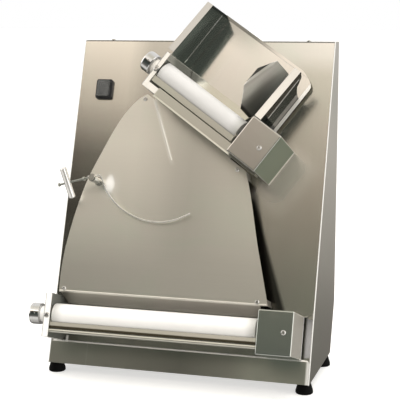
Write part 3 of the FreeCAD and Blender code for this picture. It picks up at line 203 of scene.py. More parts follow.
def panel_painted_light(t, base, r, metal):
    """The leaning face gets painted shade beside the chute's open right side, a painted reflection ramp up its left
    part, a painted lighter upper right, a duller, less metallic patch painted as a soft reflection below the upper
    unit, and a painted dark top edge.
    """
    x, s, n = t.along(E_X), t.along(E_S), t.along(E_N)
    # Painted shade: mask of a near-black band along the chute's open right side, standing in for the dark gap behind
    # the chute.
    edge = t.math("ADD", 243.5, t.math("MULTIPLY", s, -0.364))
    band = t.math("MULTIPLY", t.span(t.math("SUBTRACT", x, edge), 13.0, 3.0, 0.0, 1.0, smooth=True), t.span(x, 90.0, 100.0))
    band = t.math("MULTIPLY", band, t.math("MULTIPLY", t.span(s, 356.0, 338.0), t.span(n, -3.0, -1.0)))
    # Painted reflection: on the left part the tone is darker low and brighter high.
    painted_light = t.ramp(t.span(s, 200.0, 660.0), [(0.0, (0.58,) * 3), (0.24, (0.40,) * 3), (0.36, (0.54,) * 3), (0.478, (0.66,) * 3), (0.53, (0.85,) * 3),
                                            (0.59, (1.10,) * 3), (0.72, (1.42,) * 3), (1.0, (1.42,) * 3)])
    base = t.mix(t.span(x, -105.0, -165.0, 0.0, 1.0, smooth=True), base, t.mix(1.0, base, painted_light, "MULTIPLY"))
    # Painted reflection: the upper right is painted lighter.
    base = t.mix(t.math("MULTIPLY", t.span(x, 60.0, 170.0, smooth=True), t.span(s, 585.0, 640.0, smooth=True)), base, t.mix(1.0, base, (1.22, 1.25, 1.30), "MULTIPLY"))
    # Painted reflection: below and right of the upper unit, a flat grey that is less metallic and a little rougher
    # stands in for a blurred reflection.
    u, v = t.along(E_U, UPPER), t.along(E_V, UPPER)
    painted_reflection_dull_patch = t.math("MULTIPLY", t.span(u, 112.0, 44.0, 0.0, 1.0, smooth=True), t.math("MULTIPLY", t.span(v, -100.0, -40.0, 0.0, 1.0, smooth=True), t.span(v, 66.0, 20.0, 0.0, 1.0, smooth=True)))
    painted_reflection_dull_patch = t.math("MULTIPLY", painted_reflection_dull_patch, t.span(u, 10.0, 20.0))
    r = t.math("ADD", r, t.math("MULTIPLY", painted_reflection_dull_patch, 0.03))
    base = t.mix(t.math("MULTIPLY", painted_reflection_dull_patch, 0.8), base, (0.56, 0.52, 0.46))
    metal = t.math("SUBTRACT", metal, t.math("MULTIPLY", painted_reflection_dull_patch, 0.42))
    # Painted shade: upward faces and a line along the top edge are painted near black; the band beside the chute is
    # mixed in first.
    top = t.facing(E_Z, 0.7, 0.95)
    base = t.mix(t.math("MULTIPLY", band, 0.90), base, (0.015, 0.015, 0.013))
    top = t.math("MAXIMUM", top, t.span(s, 657.9, 658.7, 0.0, 0.85))
    base = t.mix(top, base, (0.06, 0.06, 0.055))
    return base, r, metal


def side_painted_light(t, base, r, metal):
    """The side is painted darker towards the bottom and the top as a painted reflection, and the bend at the leaning
    front edge gets a painted highlight.
    """
    n = t.along(E_N)
    s = t.along(E_S)
    # Painted reflection: tone ramp up the side, darker at the bottom and the top.
    tone = t.ramp(t.span(s, 0.0, 660.0), [(0.0, (0.76,) * 3), (0.22, (0.82,) * 3), (0.36, (1.0,) * 3), (0.68, (1.0,) * 3), (0.86, (0.70,) * 3), (1.0, (0.68,) * 3)])
    base = t.mix(1.0, base, tone, "MULTIPLY")
    # Painted highlight along the bend at the leaning front edge.
    ridge = t.math("MULTIPLY", t.span(n, -2.0, -1.2), t.span(t.math("ABSOLUTE", t.along(E_X)), 256.0, 257.0))
    base = t.mix(ridge, base, (0.80, 0.80, 0.78))
    return base, t.math("ADD", r, t.math("MULTIPLY", ridge, 0.12)), t.math("SUBTRACT", metal, t.math("MULTIPLY", ridge, 0.60))


def skirt_painted_light(t, base, r, metal):
    """Painted reflection tones across the skirt's front, a painted light patch at the recess's right end, and
    painted highlights along the top bend and the right end, with a faint light line near x -181.
    """
    x, s, n = t.along(E_X), t.along(E_S), t.along(E_N)
    low = t.span(n, -8.0, -5.0)
    # Painted reflection: the front face's tone changes across its width.
    tone = t.ramp(t.span(x, -260.0, 260.0), [(0.0, (1.05,) * 3), (0.30, (0.88,) * 3), (0.52, (0.62,) * 3), (0.70, (0.88,) * 3), (0.78, (1.15,) * 3), (0.9, (1.10,) * 3), (1.0, (1.0,) * 3)])
    base = t.mix(low, base, t.mix(1.0, base, tone, "MULTIPLY"))
    # Painted highlights on the top bend and the right end; a faint light line near x -181 is mixed in weakly.
    bend = t.math("MULTIPLY", t.span(s, 42.4, 43.6), t.span(n, -4.6, -3.6))
    end = t.math("MULTIPLY", t.span(x, 250.5, 254.0), t.span(n, -5.0, -3.0))
    bend = t.math("MAXIMUM", bend, t.math("MAXIMUM", end, t.math("MULTIPLY", t.math("MULTIPLY", t.span(x, -182.6, -181.8), t.span(x, -180.0, -180.8)), 0.16)))
    base = t.mix(bend, base, (0.92, 0.91, 0.88))
    # Painted light at the right end of the recess.
    inner = t.math("MULTIPLY", t.span(n, -10.0, -14.0), t.span(s, 49.0, 52.0))
    base = t.mix(t.math("MULTIPLY", inner, t.span(x, 240.0, 244.0)), base, (0.95, 0.94, 0.97))
    bend = t.math("MAXIMUM", bend, t.math("MULTIPLY", inner, t.span(x, 240.0, 244.0, 0.0, 1.3)))
    return base, r, t.math("SUBTRACT", metal, t.math("MULTIPLY", bend, 0.55))


def back_painted_light(t, base, r, metal):
    """The hopper's back is painted dark near its left wall, along the hem and towards its upper left, as painted
    shade and a painted reflection of the left wall; it is shinier towards the left, and its free right border gets a
    painted highlight.
    """
    u, v, n = (t.along(e, UPPER) for e in (E_U, E_V, E_N))
    # Painted shade and painted reflection: masks that darken the back near its left wall, along the hem and at its
    # upper left.
    left = t.math("MULTIPLY", t.span(u, -192.0, -204.0), t.span(v, 47.0, 44.0))
    hem = t.math("MULTIPLY", t.span(v, 168.4, 169.2), t.span(u, -90.0, -190.0, 0.0, 1.0, smooth=True))
    shade = t.math("MULTIPLY", t.span(u, -120.0, -230.0, 0.0, 0.50, smooth=True), t.span(v, 120.0, 176.0, 0.0, 1.0, smooth=True))
    painted_wall_reflection = t.span(t.math("ADD", u, t.math("MULTIPLY", v, 0.075)), -209.0, -219.0, 0.0, 0.48, smooth=True)
    dark = t.math("MAXIMUM", t.math("MAXIMUM", painted_wall_reflection, t.math("MULTIPLY", left, 0.86)), t.math("MAXIMUM", t.math("MULTIPLY", hem, 0.8), shade))
    base = t.mix(dark, base, (0.055, 0.058, 0.052))
    r = t.math("SUBTRACT", r, t.span(u, -185.0, -205.0, 0.0, 0.09, smooth=True))
    # Painted highlight on the free right border.
    rim = t.span(u, -26.4, -25.6)
    base = t.mix(rim, base, (0.86, 0.84, 0.80))
    return base, t.math("ADD", r, t.math("MULTIPLY", rim, 0.15)), t.math("SUBTRACT", metal, t.math("MULTIPLY", rim, 0.75))


def wall_painted_light(t, base, r, metal):
    """Side walls: a painted tone on the front strips, painted highlight lines along a rib on each wall, and on the
    right wall's outside two painted shade tones and a painted dark foot.
    """
    u, v, n = (t.along(e, UPPER) for e in (E_U, E_V, E_N))
    strip = t.math("MULTIPLY", t.span(n, 95.0, 96.5), t.facing(E_N, 0.6, 0.8))
    right = t.math("MULTIPLY", t.span(u, -60.0, -50.0), t.math("SUBTRACT", 1.0, strip))
    left = t.span(u, -200.0, -210.0)
    # Painted shade: two dark tones on the right wall's outside.
    outer = t.mix(t.span(n, 79.0, 81.0), t.mix(t.span(v, 55.0, 150.0), (0.30, 0.29, 0.27), (0.13, 0.117, 0.105)), (0.23, 0.19, 0.163))
    base = t.mix(right, base, outer)
    # Painted shade: the right wall's foot is painted near black.
    base = t.mix(t.math("MULTIPLY", right, t.span(v, 57.0, 54.5)), base, (0.004, 0.004, 0.004))
    # Painted highlight lines along a rib on each wall.
    rib_r = t.math("MULTIPLY", right, t.span(t.math("ABSOLUTE", t.math("SUBTRACT", n, 80.0)), 1.15, 0.95))
    rib_l = t.math("MULTIPLY", left, t.span(t.math("ABSOLUTE", t.math("SUBTRACT", n, 34.0)), 1.15, 0.95))
    rib = t.math("MULTIPLY", t.math("MAXIMUM", rib_r, rib_l), t.span(v, 55.0, 57.0))
    base = t.mix(rib, base, t.mix(right, (0.26, 0.262, 0.25), (0.62, 0.60, 0.57)))
    # Painted tone on the front strips.
    base = t.mix(strip, base, (0.50, 0.485, 0.46))
    lift = t.math("MAXIMUM", t.math("MULTIPLY", rib, 0.25), t.math("MULTIPLY", right, 0.12))
    return base, r, t.math("SUBTRACT", metal, lift)


def guide_painted_light(t, base, r, metal):
    """The inner cheek: painted light towards its upper front corner and painted shade towards the rollers, standing
    in for reflections; its folded flap and its foot are painted dark as shade.
    """
    u, v, n = (t.along(e, UPPER) for e in (E_U, E_V, E_N))
    # Painted reflection: a tone ramp from shade near the rollers to light at the upper front corner.
    run = t.math("ADD", t.math("MULTIPLY", v, 0.55), t.math("MULTIPLY", n, 0.84))
    tone = t.ramp(t.span(run, 40.0, 175.0), [(0.0, (0.27, 0.275, 0.265)), (0.36, (0.36, 0.36, 0.35)), (0.55, (0.52, 0.51, 0.49)), (0.70, (0.95, 0.93, 0.90)), (0.86, (1.0, 0.98, 0.95)), (1.0, (0.75, 0.73, 0.70))])
    base = t.mix(1.0, base, tone, "MULTIPLY")
    # Painted shade on the folded flap.
    flap = t.span(u, -76.25, -76.6)
    base = t.mix(flap, base, (0.10, 0.10, 0.092))
    # Painted shade: the foot by the rollers is painted near black.
    base = t.mix(t.span(v, 47.0, 43.0), base, (0.006, 0.006, 0.006))
    return base, r, t.math("SUBTRACT", metal, t.math("MULTIPLY", t.math("SUBTRACT", 1.0, flap), 0.62))


def cover_side(direction, across, start, low, high, tone, lift):
    """The cover's outer side gets a painted tone in place of its shading, and its borders get painted highlights."""
    def marks(t, base, r, metal):
        # Painted shade: the outer side is painted a set tone, and is rougher and less metallic.
        face = t.facing(direction, 0.80, 0.97)
        a, n = t.along(across, start), t.along(E_N, start)
        # Painted highlights along the outer side's borders.
        rim = t.math("MAXIMUM", t.span(n, 6.4, 4.6), t.math("MAXIMUM", t.span(a, high - 2.2, high - 1.4), t.span(a, low + 2.2, low + 1.4)))
        rim = t.math("MULTIPLY", rim, face)
        base = t.mix(rim, t.mix(face, base, tone), (0.90, 0.89, 0.87))
        metal = t.math("SUBTRACT", metal, t.math("MULTIPLY", face, lift))
        return base, t.math("ADD", r, t.math("MULTIPLY", face, 0.12)), t.math("SUBTRACT", metal, t.math("MULTIPLY", rim, 0.2), clamp=True)
    return marks


def chute_painted_light(t, base, r, metal):
    """The chute gets painted reflection tones, painted highlights along the crease, the short flange at the top
    right and the bead, painted shade on the lip, and a painted flare of light by the hub.
    """
    x, s, n = t.along(E_X), t.along(E_S), t.along(E_N)
    # Painted reflection: tone changes across and up the chute.
    across = t.ramp(t.span(x, -200.0, 120.0), [(0.0, (1.30,) * 3), (0.28, (1.27,) * 3), (0.44, (1.12,) * 3), (0.55, (0.96,) * 3), (0.64, (0.90,) * 3), (0.73, (0.93,) * 3), (0.88, (1.03,) * 3), (1.0, (1.07,) * 3)])
    height = t.ramp(t.span(s, 150.0, 550.0), [(0.0, (0.0,) * 3), (0.10, (0.1,) * 3), (0.21, (0.5,) * 3), (0.34, (0.85,) * 3), (0.52, (1.0,) * 3), (0.72, (1.0,) * 3), (0.85, (0.6,) * 3), (1.0, (0.4,) * 3)])
    base = t.mix(height, base, t.mix(1.0, base, across, "MULTIPLY"))
    # Painted highlights on the crease, the short flange at the top right and the bead.
    crease = t.math("MULTIPLY", t.span(n, 40.02, 40.08), t.math("MULTIPLY", t.span(s, 380.0, 395.0), t.span(x, 0.0, -15.0)))
    flange = t.math("MULTIPLY", t.math("MULTIPLY", t.facing(E_X, 0.5, 0.8), t.span(s, 330.0, 350.0)), t.span(n, 10.0, 18.0))
    bead = t.math("MULTIPLY", t.span(s, 141.2, 140.8), t.span(n, 40.02, 40.2))
    painted_light = t.math("MAXIMUM", crease, t.math("MAXIMUM", flange, t.math("MULTIPLY", bead, 0.5)))
    base = t.mix(painted_light, base, (0.92, 0.89, 0.83))
    # Painted shade: the lip is painted darker.
    lip = t.span(s, 137.5, 135.5)
    base = t.mix(lip, base, t.mix(1.0, base, (0.49, 0.48, 0.47), "MULTIPLY"))
    # Painted highlight: a light patch by the hub and a soft light band along the crease.
    hx, hs = t.math("MULTIPLY", t.math("ADD", x, 158.0), 1 / 26.0), t.math("MULTIPLY", t.math("SUBTRACT", s, 350.0), 1 / 30.0)
    glow = t.math("MULTIPLY", t.span(t.math("ADD", t.math("MULTIPLY", hx, hx), t.math("MULTIPLY", hs, hs)), 1.2, 0.0, 0.0, 0.75, smooth=True), t.span(n, 38.0, 39.5))
    off = t.math("ABSOLUTE", t.math("ADD", t.math("MULTIPLY", t.math("ADD", x, 84.1), 0.937), t.math("MULTIPLY", t.math("SUBTRACT", s, 533.0), 0.35)))
    halo = t.math("MULTIPLY", t.span(off, 6.5, 1.0, 0.0, 0.65, smooth=True), t.math("MULTIPLY", t.span(s, 394.0, 412.0), t.span(s, 540.0, 525.0)))
    glow = t.math("MAXIMUM", glow, halo)
    base = t.mix(glow, base, (0.95, 0.93, 0.88))
    # Painted highlight: a brighter, less metallic core of the flare by the hub.
    cx, cs = t.math("MULTIPLY", t.math("ADD", x, 157.0), 1 / 11.0), t.math("MULTIPLY", t.math("SUBTRACT", s, 353.0), 1 / 21.0)
    core = t.math("MULTIPLY", t.span(t.math("ADD", t.math("MULTIPLY", cx, cx), t.math("MULTIPLY", cs, cs)), 1.25, 0.0, 0.0, 1.0, smooth=True), t.span(n, 38.0, 39.5))
    base = t.mix(core, base, (0.98, 0.97, 0.95))
    metal = t.math("SUBTRACT", metal, t.math("MULTIPLY", core, 0.60))
    return base, r, t.math("SUBTRACT", metal, t.math("MULTIPLY", painted_light, 0.45))


mats["panel"] = brushed("panel_stainless", E_S, E_X, STEEL, rough=0.19, local=panel_painted_light)
mats["skirt"] = brushed("skirt_stainless", E_X, E_S, (0.62, 0.60, 0.54), rough=0.30, smudge=0.015, bump=0.002, streak=0.006, local=skirt_painted_light)
mats["side"] = brushed("side_stainless", E_Z, E_Y, STEEL, rough=0.30, smudge=0.02, bump=0.003, streak=0.008, local=side_painted_light)
mats["rear"] = brushed("rear_stainless", E_Z, E_X, STEEL, rough=0.30)
mats["base"] = brushed("base_stainless", E_X, E_Y, (0.52, 0.51, 0.49), rough=0.38, bump=0.06)
mats["chute"] = brushed("chute_stainless", E_X, E_S, (0.72, 0.69, 0.63), rough=0.30, grain=1.0, smudge=0.02, bump=0.005, streak=0.008,
                        metal=0.90, local=chute_painted_light)
mats["hopper_back"] = brushed("hopper_back_stainless", E_V, E_U, (0.84, 0.81, 0.76), rough=0.20, grain=0.8, smudge=0.05, bump=0.010, streak=0.015, local=back_painted_light)
mats["hopper_wall"] = brushed("hopper_wall_stainless", E_V, E_N, (0.75, 0.76, 0.74), rough=0.12, grain=0.8, smudge=0.03, bump=0.002, streak=0.01, local=wall_painted_light)
mats["hopper_guide"] = brushed("hopper_guide_stainless", E_N, E_V, (0.84, 0.83, 0.80), rough=0.30, grain=0.8, smudge=0.05, bump=0.008, streak=0.01, local=guide_painted_light)
# The tone given to each cover_side call is the painted shade of that cover's outer side.
mats["cover_low"] = brushed("lower_cover_stainless", E_X, E_S, (0.56, 0.57, 0.54), rough=0.17, grain=0.9, smudge=0.04, bump=0.010,
                            local=cover_side(E_X, E_S, ORIGIN, 44.5, 126.5, (0.50, 0.48, 0.43), 0.55))
mats["cover_up"] = brushed("upper_cover_stainless", E_U, E_V, (0.53, 0.51, 0.48), rough=0.20, grain=0.9, smudge=0.04, bump=0.010,
                           local=cover_side(E_U, E_V, UPPER, -41.0, 41.0, (0.25, 0.29, 0.22), 0.62))
def blade_painted_shadow(t, base, r, metal):
    """The scraper's lower edge is painted dark as the shadow under it, and is rougher there."""
    # Painted shadow along the lower edge.
    edge = t.span(t.along(E_S), 68.6, 67.4)
    return t.mix(edge, base, (0.05, 0.042, 0.025)), t.math("ADD", r, t.math("MULTIPLY", edge, 0.2)), metal


# The lower and upper bars are the same steel, as are the two blades; their different base tones and metal stand in
# for how each unit is lit, as painted light and shade.
mats["bar_low"] = brushed("lower_bar_stainless", E_X, E_S, (0.74, 0.72, 0.65), rough=0.31, smudge=0.015, bump=0.002, streak=0.012)
mats["bar_up"] = brushed("upper_bar_stainless", E_U, E_V, (0.62, 0.60, 0.54), rough=0.31, smudge=0.015, bump=0.002, streak=0.012)
mats["blade_low"] = brushed("lower_blade_stainless", E_X, E_S, (0.50, 0.48, 0.42), rough=0.31, smudge=0.015, bump=0.002, streak=0.01, metal=0.72, local=blade_painted_shadow)
mats["blade_up"] = brushed("upper_blade_stainless", E_U, E_V, (0.62, 0.60, 0.53), rough=0.31, smudge=0.015, bump=0.002, streak=0.01, metal=0.85)
mats["shaft_low"] = turned("lower_ground_steel", E_X, (0.60, 0.60, 0.60), rough=0.24)
mats["shaft_up"] = turned("upper_ground_steel", E_U, (0.60, 0.60, 0.60), rough=0.24)
mats["fastener"] = turned("screw_stainless", E_N, (0.62, 0.61, 0.59), rough=0.26, lines=3000)
mats["knob_low"] = turned("lower_knob_chrome", E_X, (0.68, 0.68, 0.68), rough=0.10, lines=1500, bump=0.05)
mats["knob_up"] = turned("upper_knob_chrome", E_U, (0.68, 0.68, 0.68), rough=0.10, lines=1500, bump=0.05)


def wire_metal(name, color, rough, metal=1.0):
    """Drawn or plated round rod with tiny scratches."""
    t = Tree(name)
    n = t.noise(t.pos, scale=900, detail=3.0)
    c = t.noise(t.pos, scale=70, detail=2.0)
    t.set(color=t.ramp(c, [(0.3, tuple(x * 0.9 for x in color)), (0.7, color)]), metal=metal,
          rough=t.span(n, 0.35, 0.7, rough, rough + 0.10), normal=t.bump(n, 0.05, 0.00003))
    return t.mat


mats["wire"] = wire_metal("bright_wire", (0.74, 0.73, 0.69), 0.14, 0.92)
mats["rod"] = wire_metal("plated_rod", (0.34, 0.35, 0.32), 0.20, 0.95)
mats["weight"] = wire_metal("polished_weight", (0.88, 0.87, 0.86), 0.12, 0.78)


def alloy(name, along, across, color=(0.86, 0.84, 0.79)):
    """Satin milled light alloy: fine parallel cutter lines and handling clouds that are darker and rougher; its two
    side faces are painted darker as shade.
    """
    t = Tree(name)
    third = along.cross(across)
    cut = t.noise(t.axes(across, along, third, 1100, 30, 300), detail=2.0, rough=0.55)
    cloud = t.noise(t.axes(across, along, third, 45, 30, 45), detail=4.0, rough=0.6)
    base = t.ramp(cut, [(0.3, tuple(c * 0.93 for c in color)), (0.7, color)])
    base = t.mix(t.span(cloud, 0.5, 0.75, 0.0, 0.35), base, tuple(c * 0.88 for c in color))
    # Painted shade: both side faces are painted darker than the front, one darker than the other.
    out = third if third.x > 0 else -third
    inside = t.facing(out, 0.6, 0.9)
    base = t.mix(inside, base, (0.16, 0.165, 0.15))
    base = t.mix(t.facing(out * -1.0, 0.4, 0.7), base, (0.34, 0.34, 0.33))
    t.set(color=base, metal=0.06, rough=t.span(cloud, 0.3, 0.7, 0.36, 0.48), normal=t.bump(cut, 0.08, 0.00005))
    return t.mat


# Both plates are the same alloy; the upper plate's darker tone is painted shade.
mats["plate_low"] = alloy("lower_plate_alloy", E_S, E_N, (0.965, 0.96, 0.95))
mats["plate_up"] = alloy("upper_plate_alloy", E_V, E_N, (0.78, 0.75, 0.70))


# ---------------------------------------------------------------- plastics, rubber, paint
def roller_plastic(name, axis_dir, ends, tone=1.0):
    """White food-grade plastic, turned and lightly polished, with a trace of flour haze."""
    t = Tree(name)
    other = axis_dir.orthogonal().normalized()
    third = axis_dir.cross(other)
    rings = t.noise(t.axes(axis_dir, other, third, 900, 8, 8), detail=2.0)
    haze = t.noise(t.axes(axis_dir, other, third, 18, 40, 40), detail=5.0, rough=0.6)
    specks = t.noise(t.pos, scale=700, detail=2.0)
    base = t.ramp(haze, [(0.3, (0.86 * tone, 0.855 * tone, 0.85 * tone)), (0.7, (0.92 * tone, 0.915 * tone, 0.91 * tone))])
    base = t.mix(t.span(specks, 0.70, 0.78, 0.0, 0.5), base, (0.97, 0.96, 0.93))
    # Painted shade: each roller darkens towards both ends.
    at = t.along(axis_dir, ORIGIN if axis_dir is E_X else UPPER)
    painted_light = t.math("MAXIMUM", t.span(at, ends[0] + 26.0, ends[0], 0.0, 1.0, smooth=True), t.span(at, ends[1] - 22.0, ends[1], 0.0, 1.0, smooth=True))
    base = t.mix(t.math("MULTIPLY", painted_light, 0.62), base, (0.36, 0.36, 0.33))
    t.set(color=base, metal=0.0, rough=t.span(haze, 0.3, 0.7, 0.30, 0.44), spec=0.5, normal=t.bump(rings, 0.06, 0.00005),
          sss=0.12, sss_r=(0.006, 0.006, 0.006), sss_scale=0.6)
    return t.mat


# Both rollers are the same plastic; the upper roller's lower tone is painted shade.
mats["roller_low"] = roller_plastic("lower_roller_plastic", E_X, (-232.0, 168.0), 0.94)
mats["roller_up"] = roller_plastic("upper_roller_plastic", E_U, (-262.0, -49.0), 0.68)


def plastic(name, color, rough, grain=1400.0, bump=0.12, spec=0.5):
    """Moulded plastic with a fine spark-eroded texture."""
    t = Tree(name)
    g = t.noise(t.pos, scale=grain, detail=3.0)
    c = t.noise(t.pos, scale=90, detail=3.0)
    t.set(color=t.ramp(c, [(0.3, tuple(x * 0.85 for x in color)), (0.7, tuple(min(1, x * 1.15) for x in color))]), metal=0.0,
          rough=t.span(c, 0.3, 0.7, rough - 0.05, rough + 0.07), spec=spec, normal=t.bump(g, bump, 0.00006))
    return t.mat


mats["black"] = plastic("black_moulding", (0.016, 0.016, 0.018), 0.42, spec=0.35)
mats["rocker"] = plastic("rocker_moulding", (0.020, 0.020, 0.022), 0.30, spec=0.35)
mats["rubber"] = plastic("black_rubber", (0.003, 0.003, 0.003), 0.55, grain=500, bump=0.08, spec=0.06)
mats["gland"] = plastic("gland_moulding", (0.035, 0.035, 0.037), 0.42)
mats["motor"] = plastic("motor_paint", (0.22, 0.24, 0.26), 0.42, grain=260, bump=0.35)


def boot_film(name):
    """Thin smoky clear boot over the switch."""
    t = Tree(name)
    c = t.noise(t.pos, scale=120, detail=3.0)
    t.set(color=t.ramp(c, [(0.3, (0.11, 0.115, 0.115)), (0.7, (0.17, 0.175, 0.175))]), metal=0.0, rough=t.span(c, 0.3, 0.7, 0.12, 0.22),
          alpha=0.45, spec=0.6, normal=t.bump(c, 0.15, 0.0003))
    return t.mat


mats["boot"] = boot_film("smoky_boot")


def bronze(name, axis_dir):
    t = Tree(name)
    g = t.noise(t.pos, scale=1500, detail=3.0)
    c = t.noise(t.pos, scale=120, detail=3.0)
    t.set(color=t.ramp(c, [(0.3, (0.45, 0.31, 0.15)), (0.7, (0.60, 0.44, 0.24))]), metal=1.0, rough=t.span(g, 0.3, 0.7, 0.34, 0.5),
          normal=t.bump(g, 0.12, 0.00005))
    return t.mat


mats["bronze"] = bronze("sintered_bronze", E_X)

# ---------------------------------------------------------------- which node gets which finish
FINISH = {
    "side_panel_left": "side", "side_panel_right": "side", "front_panel": "panel", "front_skirt": "skirt", "base_plate": "base",
    "rear_cover": "rear", "cover_screws": "fastener", "rubber_feet": "rubber", "foot_bolts": "fastener",
    "chute_panel": "chute", "chute_spacers": "fastener", "chute_screws": "fastener",
    "switch_housing": "black", "switch_rocker": "rocker", "switch_boot": "boot", "cable_gland": "gland",
    "balance_pivot": "wire", "balance_arm": "wire", "balance_rod": "rod", "balance_weight": "weight",
    "gearmotors": "motor", "rear_bushes": "bronze", "unit_screws": "fastener", "cover_posts": "fastener",
    "hopper_back": "hopper_back", "hopper_left_wall": "hopper_wall", "hopper_right_wall": "hopper_wall", "hopper_guide": "hopper_guide",
}
for tag, k in (("lower", "low"), ("upper", "up")):
    for part, fin in (("left_plate", "plate_"), ("right_plate", "plate_"), ("gear_cover", "cover_"), ("rear_roller", "roller_"),
                      ("front_roller", "roller_"), ("rear_shaft", "shaft_"), ("front_shaft", "shaft_"), ("rear_gear", "shaft_"),
                      ("front_gear", "shaft_"), ("bearing_blocks", "bar_"), ("front_bar", "bar_"), ("front_scraper", "blade_"),
                      ("adjust_shaft", "shaft_"), ("knob", "knob_"), ("drive_pinion", "shaft_")):
        FINISH[f"{tag}_{part}"] = fin + k
for name, ob in nodes.items():
    material = mats[FINISH[name]]
    if not ob.material_slots:
        ob.data.materials.append(material)
    for s in ob.material_slots:
        s.material = material

# ---------------------------------------------------------------- studio
world = bpy.data.worlds.new("studio")
scene.world = world
world.use_nodes = True
wt = world.node_tree
wt.nodes.clear()
w_out = wt.nodes.new("ShaderNodeOutputWorld")
w_dir = wt.nodes.new("ShaderNodeTexCoord").outputs["Generated"]
sep = wt.nodes.new("ShaderNodeSeparateXYZ")
wt.links.new(w_dir, sep.inputs[0])


def w_ramp(socket, stops):
    n = wt.nodes.new("ShaderNodeValToRGB")
    el = n.color_ramp.elements
    while len(el) < len(stops):
        el.new(0.5)
    for e, (p, col) in zip(el, stops):
        e.position = p
        e.color = (*col, 1)
    wt.links.new(socket, n.inputs[0])
    return n.outputs[0]


def w_math(op, a, b=0.0, c=0.0, clamp=False):
    n = wt.nodes.new("ShaderNodeMath")
    n.operation = op
    n.use_clamp = clamp
    for socket, value in zip(n.inputs, (a, b, c)):
        if hasattr(value, "is_output"):
            wt.links.new(value, socket)
        else:
            socket.default_value = value
    return n.outputs[0]


def w_step(value, a, b, lo=0.0, hi=1.0):
    n = wt.nodes.new("ShaderNodeMapRange")
    n.interpolation_type = "SMOOTHSTEP"
    wt.links.new(value, n.inputs[0])
    for i, v in zip((1, 2, 3, 4), (a, b, lo, hi)):
        n.inputs[i].default_value = v
    return n.outputs[0]


def w_mix(fac, a, b, mode="MIX"):
    n = wt.nodes.new("ShaderNodeMix")
    n.data_type = "RGBA"
    n.blend_type = mode
    for socket, value in ((n.inputs[0], fac), (n.inputs[6], a), (n.inputs[7], b)):
        if hasattr(value, "is_output"):
            wt.links.new(value, socket)
        else:
            socket.default_value = (*value, 1) if hasattr(value, "__len__") else value
    return n.outputs[2]


# Brightness of the room by height: dark low, a bright soft band, a dimmer ceiling.
UP_X, UP_Y, UP_Z = sep.outputs["X"], sep.outputs["Y"], sep.outputs["Z"]
room = w_ramp(UP_Z, [
    (0.00, (0.10, 0.115, 0.105)),
    (0.20, (0.11, 0.128, 0.115)),
    (0.40, (0.150, 0.165, 0.140)),
    (0.44, (0.20, 0.195, 0.155)),
    (0.50, (0.40, 0.355, 0.29)),
    (0.56, (0.68, 0.60, 0.51)),
    (0.605, (1.12, 1.02, 0.90)),
    (0.64, (1.32, 1.24, 1.13)),
    (0.74, (1.12, 1.07, 0.99)),
    (0.84, (0.95, 0.90, 0.80)),
    (0.93, (0.72, 0.68, 0.58)),
    (1.00, (0.70, 0.66, 0.57)),
])
# The left part of the room is brighter in the band and darker under it; the right part is a little brighter.
left = w_step(UP_X, -0.30, -0.42)
left_gain = w_ramp(UP_Z, [(0.0, (0.70,) * 3), (0.44, (0.25,) * 3), (0.50, (0.20,) * 3), (0.535, (0.42,) * 3), (0.565, (1.25,) * 3), (0.595, (2.10,) * 3), (0.66, (1.80,) * 3), (0.74, (1.2,) * 3)])
right = w_step(UP_X, -0.24, -0.12)
right_gain = w_ramp(UP_Z, [(0.0, (1.0,) * 3), (0.44, (1.15,) * 3), (0.56, (1.25,) * 3), (0.60, (1.55,) * 3), (0.66, (1.70,) * 3), (0.75, (1.20,) * 3)])
room = w_mix(left, room, w_mix(1.0, room, left_gain, "MULTIPLY"))
room = w_mix(right, room, w_mix(1.0, room, right_gain, "MULTIPLY"))
# Tall soft boxes stand at both sides.
sides = w_math("MAXIMUM", w_math("MULTIPLY", w_step(UP_X, 0.58, 0.68), w_step(UP_Z, 0.80, 0.66)),
               w_math("MULTIPLY", w_step(UP_X, -0.74, -0.84), w_step(UP_Z, 0.80, 0.66)))
room = w_mix(sides, room, (1.7, 1.66, 1.6))
rear_wall = w_step(UP_Y, -0.15, 0.45)
room = w_mix(rear_wall, room, (1.0, 0.98, 0.95))
# Under the horizon: a dim floor in front, fading from a bright horizon behind.
depth = w_math("MULTIPLY", UP_Z, -1.0)
ground_front = w_ramp(depth, [(0.0, (0.10, 0.11, 0.10)), (0.15, (0.12, 0.12, 0.11)), (0.32, (0.26, 0.25, 0.23)), (0.42, (0.85, 0.83, 0.79)), (0.62, (0.95, 0.93, 0.88)), (1.0, (0.45, 0.43, 0.40))])
ground_back = w_ramp(depth, [(0.0, (1.0, 0.98, 0.95)), (0.05, (0.80, 0.78, 0.74)), (0.11, (0.58, 0.56, 0.52)), (0.17, (0.42, 0.40, 0.37)),
                             (0.27, (0.18, 0.172, 0.155)), (0.5, (0.13, 0.13, 0.12)), (1.0, (0.30, 0.29, 0.27))])
ground = w_mix(w_step(UP_Y, -0.1, 0.3), ground_front, ground_back)
ground = w_mix(w_math("MULTIPLY", w_step(UP_X, 0.58, 0.68), w_step(UP_Z, -0.5, -0.3)), ground, (1.4, 1.37, 1.32))
room = w_mix(w_step(UP_Z, 0.01, -0.01), room, ground)
bg_room = wt.nodes.new("ShaderNodeBackground")
bg_room.inputs["Strength"].default_value = 1.0
wt.links.new(room, bg_room.inputs[0])
bg_white = wt.nodes.new("ShaderNodeBackground")
bg_white.inputs[0].default_value = (1, 1, 1, 1)
bg_white.inputs[1].default_value = 1.0
path = wt.nodes.new("ShaderNodeLightPath")
mix = wt.nodes.new("ShaderNodeMixShader")
wt.links.new(path.outputs["Is Camera Ray"], mix.inputs[0])
wt.links.new(bg_room.outputs[0], mix.inputs[1])
wt.links.new(bg_white.outputs[0], mix.inputs[2])
wt.links.new(mix.outputs[0], w_out.inputs[0])


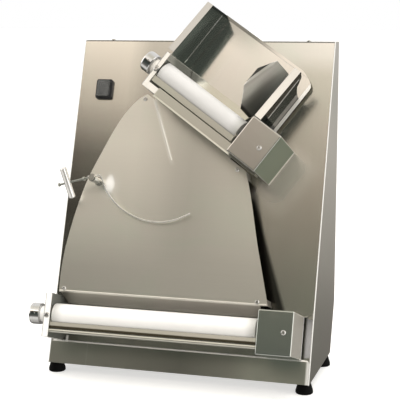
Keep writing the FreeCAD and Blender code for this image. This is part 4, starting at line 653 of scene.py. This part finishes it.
def area_light(name, location, target, size, power, color=(1, 1, 1), spread=math.radians(150), glossy=False):
    data = bpy.data.lights.new(name, "AREA")
    data.shape = "RECTANGLE"
    data.size, data.size_y = size
    data.energy = power
    data.color = color
    data.spread = spread
    ob = bpy.data.objects.new(name, data)
    scene.collection.objects.link(ob)
    ob.location = location
    ob.rotation_euler = (Vector(target) - Vector(location)).to_track_quat("-Z", "Y").to_euler()
    ob.visible_camera = False
    ob.visible_glossy = glossy
    return ob


area_light("overhead_soft", (0.0, -0.5, 3.2), (0, 0, 0), (3.0, 2.6), 40, (1.0, 0.98, 0.95))
area_light("front_soft", (0.5, -3.2, 0.9), (0, 0, 0.35), (2.4, 1.8), 18, (1.0, 0.98, 0.96))

floor_data = bpy.data.meshes.new("floor")
R = 40.0
floor_data.from_pydata([(-R, -R, 0), (R, -R, 0), (R, R, 0), (-R, R, 0)], [], [(0, 1, 2, 3)])
floor = bpy.data.objects.new("floor", floor_data)
scene.collection.objects.link(floor)
ft = Tree("pale_floor")
fn = ft.noise(ft.pos, scale=3.0, detail=4.0)
seen = ft.t.nodes.new("ShaderNodeLightPath").outputs["Is Camera Ray"]
ft.put(ft.b.inputs["Emission Color"], (1, 1, 1, 1))
ft.put(ft.b.inputs["Emission Strength"], ft.math("MULTIPLY", seen, 0.5))
ft.set(color=ft.mix(seen, (0.50, 0.49, 0.47), ft.ramp(fn, [(0.3, (0.66, 0.66, 0.65)), (0.7, (0.70, 0.70, 0.69))])), rough=0.6, spec=0.2)
floor_data.materials.append(ft.mat)
floor.visible_glossy = False

# ---------------------------------------------------------------- camera
cam_data = bpy.data.cameras.new("camera")
cam_data.sensor_width = 36.0
cam_data.lens = 104.13
cam_data.clip_start, cam_data.clip_end = 0.05, 200.0
cam = bpy.data.objects.new("camera", cam_data)
scene.collection.objects.link(cam)
cam.location = (0.6516, -2.11863, 0.700)
cam.rotation_euler = Euler((math.radians(80.74), 0, math.radians(16.36)))
scene.camera = cam
scene.view_settings.view_transform = "Standard"
scene.view_settings.look = "None"
